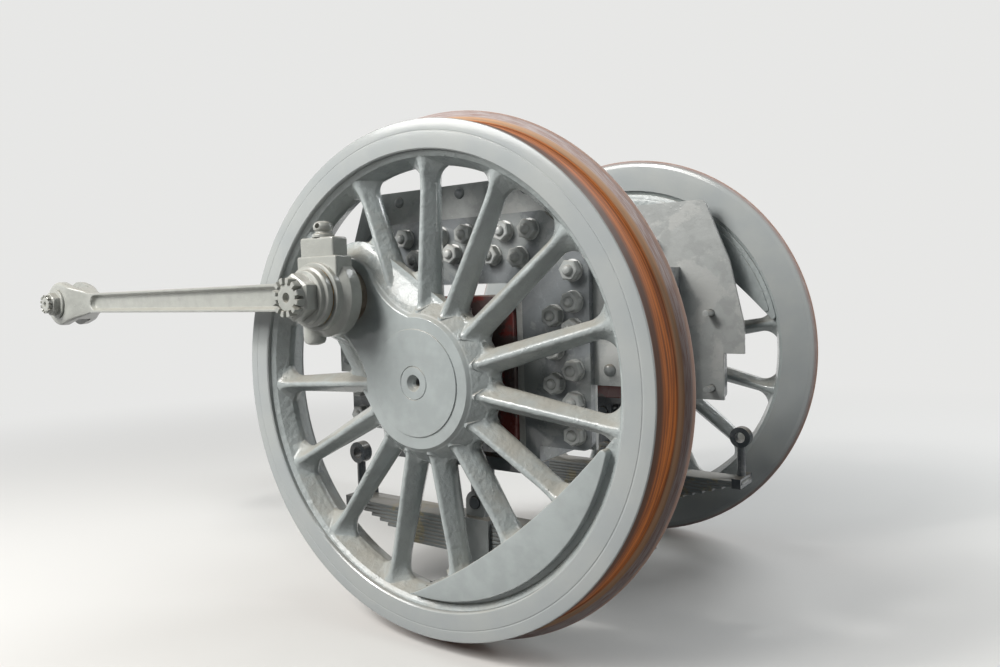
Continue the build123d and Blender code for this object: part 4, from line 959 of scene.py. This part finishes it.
def oil_filler():
    """Collar, neck and ball: radius against height, turned about the upright axis, with a cross hole in the ball."""
    foot = PIN_Z + 145
    r, rise = rounded([(0.02, 0), (27, 0), (27, 7), (20, 11), (18, 14), (23, 19), (24.5, 27), (21, 35), (12, 40),
                       (0.02, 41)], (0, 0, 3, 3, 2, 4, 6, 6, 6, 0), 5).T
    t = around(64)
    ball = barrel(xyz(PIN_X + r * np.cos(t), ROD_BACK + 27 + r * np.sin(t), foot + rise))
    hole = plate(circle(6.5, PIN_X + 4, foot + 28, 24), ROD_BACK - 20, ROD_BACK + 80, 0.1, 0.1)
    return solid_sum(ball, [], [hole])


big_end = turned(rounded([
    (ROD_BORE_R, ROD_BACK), (100, ROD_BACK), (100, ROD_BACK + 34), (86, ROD_BACK + 47), (84, ROD_BACK + 48),
    (84, ROD_FRONT), (ROD_BORE_R, ROD_FRONT)], (0, 3, 4, 2, 1.5, 3, 1), closed=True), PIN_X, PIN_Z, 144)
oil_base = box_shell(PIN_X - 70, PIN_X + 70, ROD_BACK + 1, ROD_BACK + 54, PIN_Z + 30, PIN_Z + 99, 5)
oil_box = box_shell(PIN_X - 59, PIN_X + 59, ROD_BACK + 2.5, ROD_BACK + 52, PIN_Z + 90, PIN_Z + 145, 7)
fork_slot = box_shell(KNUCKLE_X - 90, KNUCKLE_X + FORK_R + 6, ROD_MIDDLE - 22, ROD_MIDDLE + 22,
                      PIN_Z - 90, PIN_Z + 90, 3)
knuckle_bore = plate(circle(KNUCKLE_PIN_R, KNUCKLE_X, PIN_Z, 48), FORK_BACK - 5, FORK_FRONT + 5, 0.1, 0.1)
pin_bore = plate(circle(ROD_BORE_R + 0.05, PIN_X, PIN_Z, 96), ROD_BACK - 5, ROD_FRONT + 5, 0.1, 0.1)
rod = solid_sum(big_end, [beam(), fork_block(), oil_base, oil_box, plug()], [fork_slot, knuckle_bore, pin_bore])
bush = turned(rounded([(r + 0.05, out) for r, out in (
    (PIN_R, ROD_BACK), (ROD_BORE_R, ROD_BACK), (ROD_BORE_R, ROD_FRONT), (PIN_R, ROD_FRONT))], 1.0, 3, closed=True),
    PIN_X, PIN_Z, 96)
filler = oil_filler()

washer_front = FORK_FRONT + 7
knuckle_end = washer_front + 22 + 12
knuckle_pin = turned(rounded([
    (0, FORK_BACK - 9), (36, FORK_BACK - 9), (36, FORK_BACK), (KNUCKLE_PIN_R, FORK_BACK), (KNUCKLE_PIN_R, knuckle_end),
    (9, knuckle_end), (7, knuckle_end - 6), (0, knuckle_end - 10)],
    (0, 4, 0, 0, 2, 1, 0, 0)), KNUCKLE_X, PIN_Z, 96, ring=False)
knuckle_nut = joined(
    turned(rounded([(KNUCKLE_PIN_R, FORK_FRONT), (48, FORK_FRONT), (48, washer_front), (KNUCKLE_PIN_R, washer_front)],
                   (0, 1, 2, 0), closed=True), KNUCKLE_X, PIN_Z, 72),
    hex_nut(66, washer_front, FORK_FRONT + 29.5, KNUCKLE_X, PIN_Z, turn=30),
    crown(31, FORK_FRONT + 27, FORK_FRONT + 43, bore=KNUCKLE_PIN_R, notches=12, slot=6.5, x=KNUCKLE_X, z=PIN_Z))

for side, place in (("left", on_left), ("right", on_right_rod)):
    pieces(side, place, f"{side}_rod", (
        ("fluted_rod", rod, "rod_paint", [ROD_GREY], "coupling_rod", 32),
        ("big_end_bush", bush, "bearing_brass", [BRASS], "rod_bush"),
        ("oil_filler", filler, "rod_paint", [ROD_GREY], "oil_cap"),
        ("knuckle_pin_turned", knuckle_pin, "rod_paint", [ROD_GREY], "knuckle_pin"),
        ("knuckle_castle_nut", knuckle_nut, "rod_paint", [ROD_GREY], "knuckle_nut")))


# ---------------------------------------------------------------- horn blocks, boxes and springs

def softened(side, node_name, name, made, width, slot):
    """Copy of a node of the model with its edges rounded, in that node's place."""
    node_name = f"{node_name}_{side}"
    mesh = cleaned(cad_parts[node_name].data.copy(), 1e-5, level=1.0)
    mesh.materials.clear()
    dressed(f"{name}_{side}", mesh, "guides", [made], [node_name], 35, edge=width)


def nut_on_stud(x, z, turn, seat=FLANGE_OUT, across=44.0, tall=22.0):
    """Nut with a thin washer and the domed end of its stud."""
    washer = plate(circle(across * 0.60, x, z, 24), seat - 0.5, seat + 3, 0.2, 0.8, 2)
    top = seat + 2.5 + tall
    dome = rounded([(0.01, top - 6), (13, top - 6), (13, top + 3), (8, top + 8), (0.01, top + 9)], (0, 0, 3, 5, 0), 4)
    return joined(washer, hex_nut(across, seat + 2.5, top, x, z, turn), turned(dome, x, z, 20, ring=False))


def rivet(x, z, seat, r=15.0, tall=11.0):
    """Snap-head rivet: a cap whose height falls off as the square root of 1 - (r / R)^2."""
    a = np.linspace(0, math.pi / 2, 6)
    profile = np.stack([np.maximum(r * np.cos(a), 0.01), seat + tall * np.sin(a)], -1)
    profile = np.concatenate([[(0.01, seat - 1), (r, seat - 1)], profile])
    return turned(profile, x, z, 20, ring=False)


def leaves():
    """Nine leaves, each a strip with rounded edges and shorter than the one above, with a dark gap between them."""
    made = []
    for k in range(9):
        half, top = 478.0 - 32.0 * k, SPRING_TOP - k * LEAF - 0.35
        low = top - LEAF + 0.7
        outline = rounded([(-half, low), (half, low), (half, top), (-half, top)], 2.2, 3, closed=True)
        made.append(plate(outline, BOX_MIDDLE - 45, BOX_MIDDLE + 45, 2.0, 2.0, 3))
    return joined(*made)


# Places (x, z) of nuts, studs and rivets
SIDE_NUTS = [(348, z) for z in (258, 186, 27, -47)] + [(296, z) for z in (154, 75, -5)]
TOP_NUTS = [(42, 360), (234, 360), (123, 303), (203, 295)]
NUTS = [(side * x, z) for x, z in SIDE_NUTS + TOP_NUTS for side in (-1, 1)] + [(0, 312)]
STUDS = [(x, z) for x in (-348, 348) for z in (-122.5, 122.5)] + [(-160, 360), (160, 360)]
RIVETS = [(8, 468), (108, 468), (-92, 468), (210, 462), (-200, 462), (290, 440), (-290, 440),
          (427, 28), (-427, 28), (360, 330), (-360, 330)]
rng = np.random.default_rng(7)
nuts, stud_nuts = (joined(*[nut_on_stud(x, z, turn) for (x, z), turn in zip(places, rng.uniform(0, 60, len(places)))])
                   for places in (NUTS, STUDS))
studs = joined(stud_nuts, *[plate(circle(11.0, x, z, 24), SEAT - 50, FLANGE_OUT + 1, 1.5, 0.2, 2) for x, z in STUDS])
rivets = joined(*[rivet(x, z, SEAT + 12) for x, z in RIVETS])
leaf_shell = leaves()

SOFTENED = (
    # node, name, material, width of its rounded edges in metres, slot
    ("hornblock", "horn_block", HORN_GREY, 0.003, "frame_paint"),
    ("doubler", "doubling_plate", DOUBLER_GREY, 0.0015, "frame_paint"),
    ("horn_liners", "liners", LINER_GREY, 0.0012, "frame_paint"),
    ("axlebox", "axle_box", BOX_RED, 0.003, "box_paint"),
    ("axlebox_keep", "keep", BOX_RED, 0.003, "box_paint"),
    ("axlebox_brass", "half_brass", BRASS, 0.001, "bearing_brass"),
    ("hornstay", "horn_stay", FRAME_DARK, 0.003, "frame_paint"),
    ("saddle", "spring_saddle", FRAME_DARK, 0.002, "frame_paint"),
    ("spring_link", "link", FRAME_DARK, 0.002, "frame_paint"),
    ("spring_buckle", "buckle", SPRING_DARK, 0.002, "spring_steel"),
    ("spring_hangers", "hangers", FRAME_DARK, 0.002, "frame_paint"))
for side, place in (("left", on_left), ("right", on_right)):
    for row in SOFTENED:
        softened(side, *row)
    pieces(side, place, "guides", (
        ("spring_leaves", leaf_shell, "spring_steel", [SPRING_DARK], "leaf_spring"),
        # The nuts, with their studs, take the paler doubling-plate grey rather than the horn block's: a painted
        # highlight that stands for the glints on them.
        ("frame_stud_nuts", studs, "frame_paint", [DOUBLER_GREY], "frame_studs"),
        ("horn_block_nuts", nuts, "frame_paint", [DOUBLER_GREY], None),
        ("doubling_plate_rivets", rivets, "frame_paint", [HORN_GREY], None)))


# ---------------------------------------------------------------- floor, light and camera

BACKDROP = (0.80, 0.80, 0.79)
SUNLIGHT, SKYLIGHT = (1.0, 0.98, 0.95), (0.95, 0.98, 1.0)


def seen_directly(tree):
    """1 for the rays of the camera, of reflections and of refractions, else 0."""
    rays = node(tree, "ShaderNodeLightPath").outputs
    return maths("MAXIMUM", rays["Is Camera Ray"],
                 maths("MAXIMUM", rays["Is Glossy Ray"], rays["Is Transmission Ray"]))


def studio_floor(reach=40.0):
    """Matt floor that holds the shadow near the object and runs into the backdrop's colour further off."""
    made = bpy.data.materials.new("studio_floor")
    tree = emptied(made)
    pale = node(tree, "ShaderNodeBsdfPrincipled", Base_Color=(0.66, 0.655, 0.64, 1), Roughness=0.9)
    bounce = node(tree, "ShaderNodeBsdfPrincipled", Base_Color=(0.12, 0.12, 0.118, 1), Roughness=0.9)
    matt = node(tree, "ShaderNodeMixShader", i0=seen_directly(tree), i1=bounce.outputs[0], i2=pale.outputs[0])
    plain = node(tree, "ShaderNodeEmission", Color=(*BACKDROP, 1), Strength=1.0)
    away = node(tree, "ShaderNodeVectorMath", {"operation": "LENGTH"}, i0=object_spot(tree)).outputs["Value"]
    share = times(ramp(away, 1.2, 5.5), seen_directly(tree))
    both = node(tree, "ShaderNodeMixShader", i0=share, i1=matt.outputs[0], i2=plain.outputs[0])
    node(tree, "ShaderNodeOutputMaterial", Surface=both.outputs[0])
    mesh = bpy.data.meshes.new("studio_floor")
    mesh.from_pydata([(x * reach, y * reach, FLOOR_Z) for x, y in ((-1, -1), (1, -1), (1, 1), (-1, 1))], [],
                     [[0, 1, 2, 3]])
    mesh.materials.append(made)
    obj = in_scene("studio_floor", mesh)


def studio_world():
    """The backdrop's colour where it is seen, and a faint blue fill of the shadows elsewhere."""
    world = bpy.data.worlds.new("studio_world")
    bpy.context.scene.world = world
    tree = emptied(world)
    fill = node(tree, "ShaderNodeBackground", Color=(0.74, 0.87, 1.0, 1), Strength=0.07)
    backdrop = node(tree, "ShaderNodeBackground", Color=(*BACKDROP, 1), Strength=1.0)
    both = node(tree, "ShaderNodeMixShader", i0=seen_directly(tree), i1=fill.outputs[0], i2=backdrop.outputs[0])
    node(tree, "ShaderNodeOutputWorld", Surface=both.outputs[0])


def lamp(name, place, target, size, power, colour):
    """Soft square lamp that looks at a point."""
    data = bpy.data.lights.new(name, "AREA")
    data.shape, data.size, data.energy, data.color = "SQUARE", size, power, colour
    look = (Vector(target) - Vector(place)).to_track_quat("-Z", "Y").to_matrix().to_4x4()
    in_scene(name, data).matrix_world = Matrix.Translation(place) @ look


studio_floor()
studio_world()
lamp("key_lamp", (-2.0, -3.6, 3.1), (0.0, 0.0, 0.0), 3.0, 365, SUNLIGHT)
lamp("glint_lamp", (-1.6, -3.2, 3.4), (0.0, 0.0, 0.0), 0.45, 60, SUNLIGHT)
lamp("front_lamp", (2.8, -4.0, 1.2), (0.0, 0.2, -0.1), 3.0, 5, SKYLIGHT)
lamp("side_lamp", (4.0, 1.6, 1.0), (0.3, 0.1, 0.0), 2.0, 55, SUNLIGHT)
lamp("back_lamp", (1.5, 4.5, 3.4), (0.0, 0.4, 0.0), 3.0, 210, SKYLIGHT)

camera_data = bpy.data.cameras.new("camera")
camera_data.lens, camera_data.sensor_width, camera_data.sensor_fit = LENS, SENSOR, "HORIZONTAL"
camera_data.clip_start = 0.05
camera = in_scene("camera", camera_data)
camera.matrix_world = (Matrix.Translation(EYE) @ Matrix.Rotation(math.radians(TURN_RIGHT), 4, "Z")
                       @ Matrix.Rotation(math.radians(TILT_DOWN), 4, "X") @ Matrix.Rotation(math.radians(ROLL), 4, "Y")
                       @ Matrix.Rotation(math.radians(90), 4, "X"))
bpy.context.scene.camera = camera
bpy.context.scene.view_settings.view_transform = "Standard"
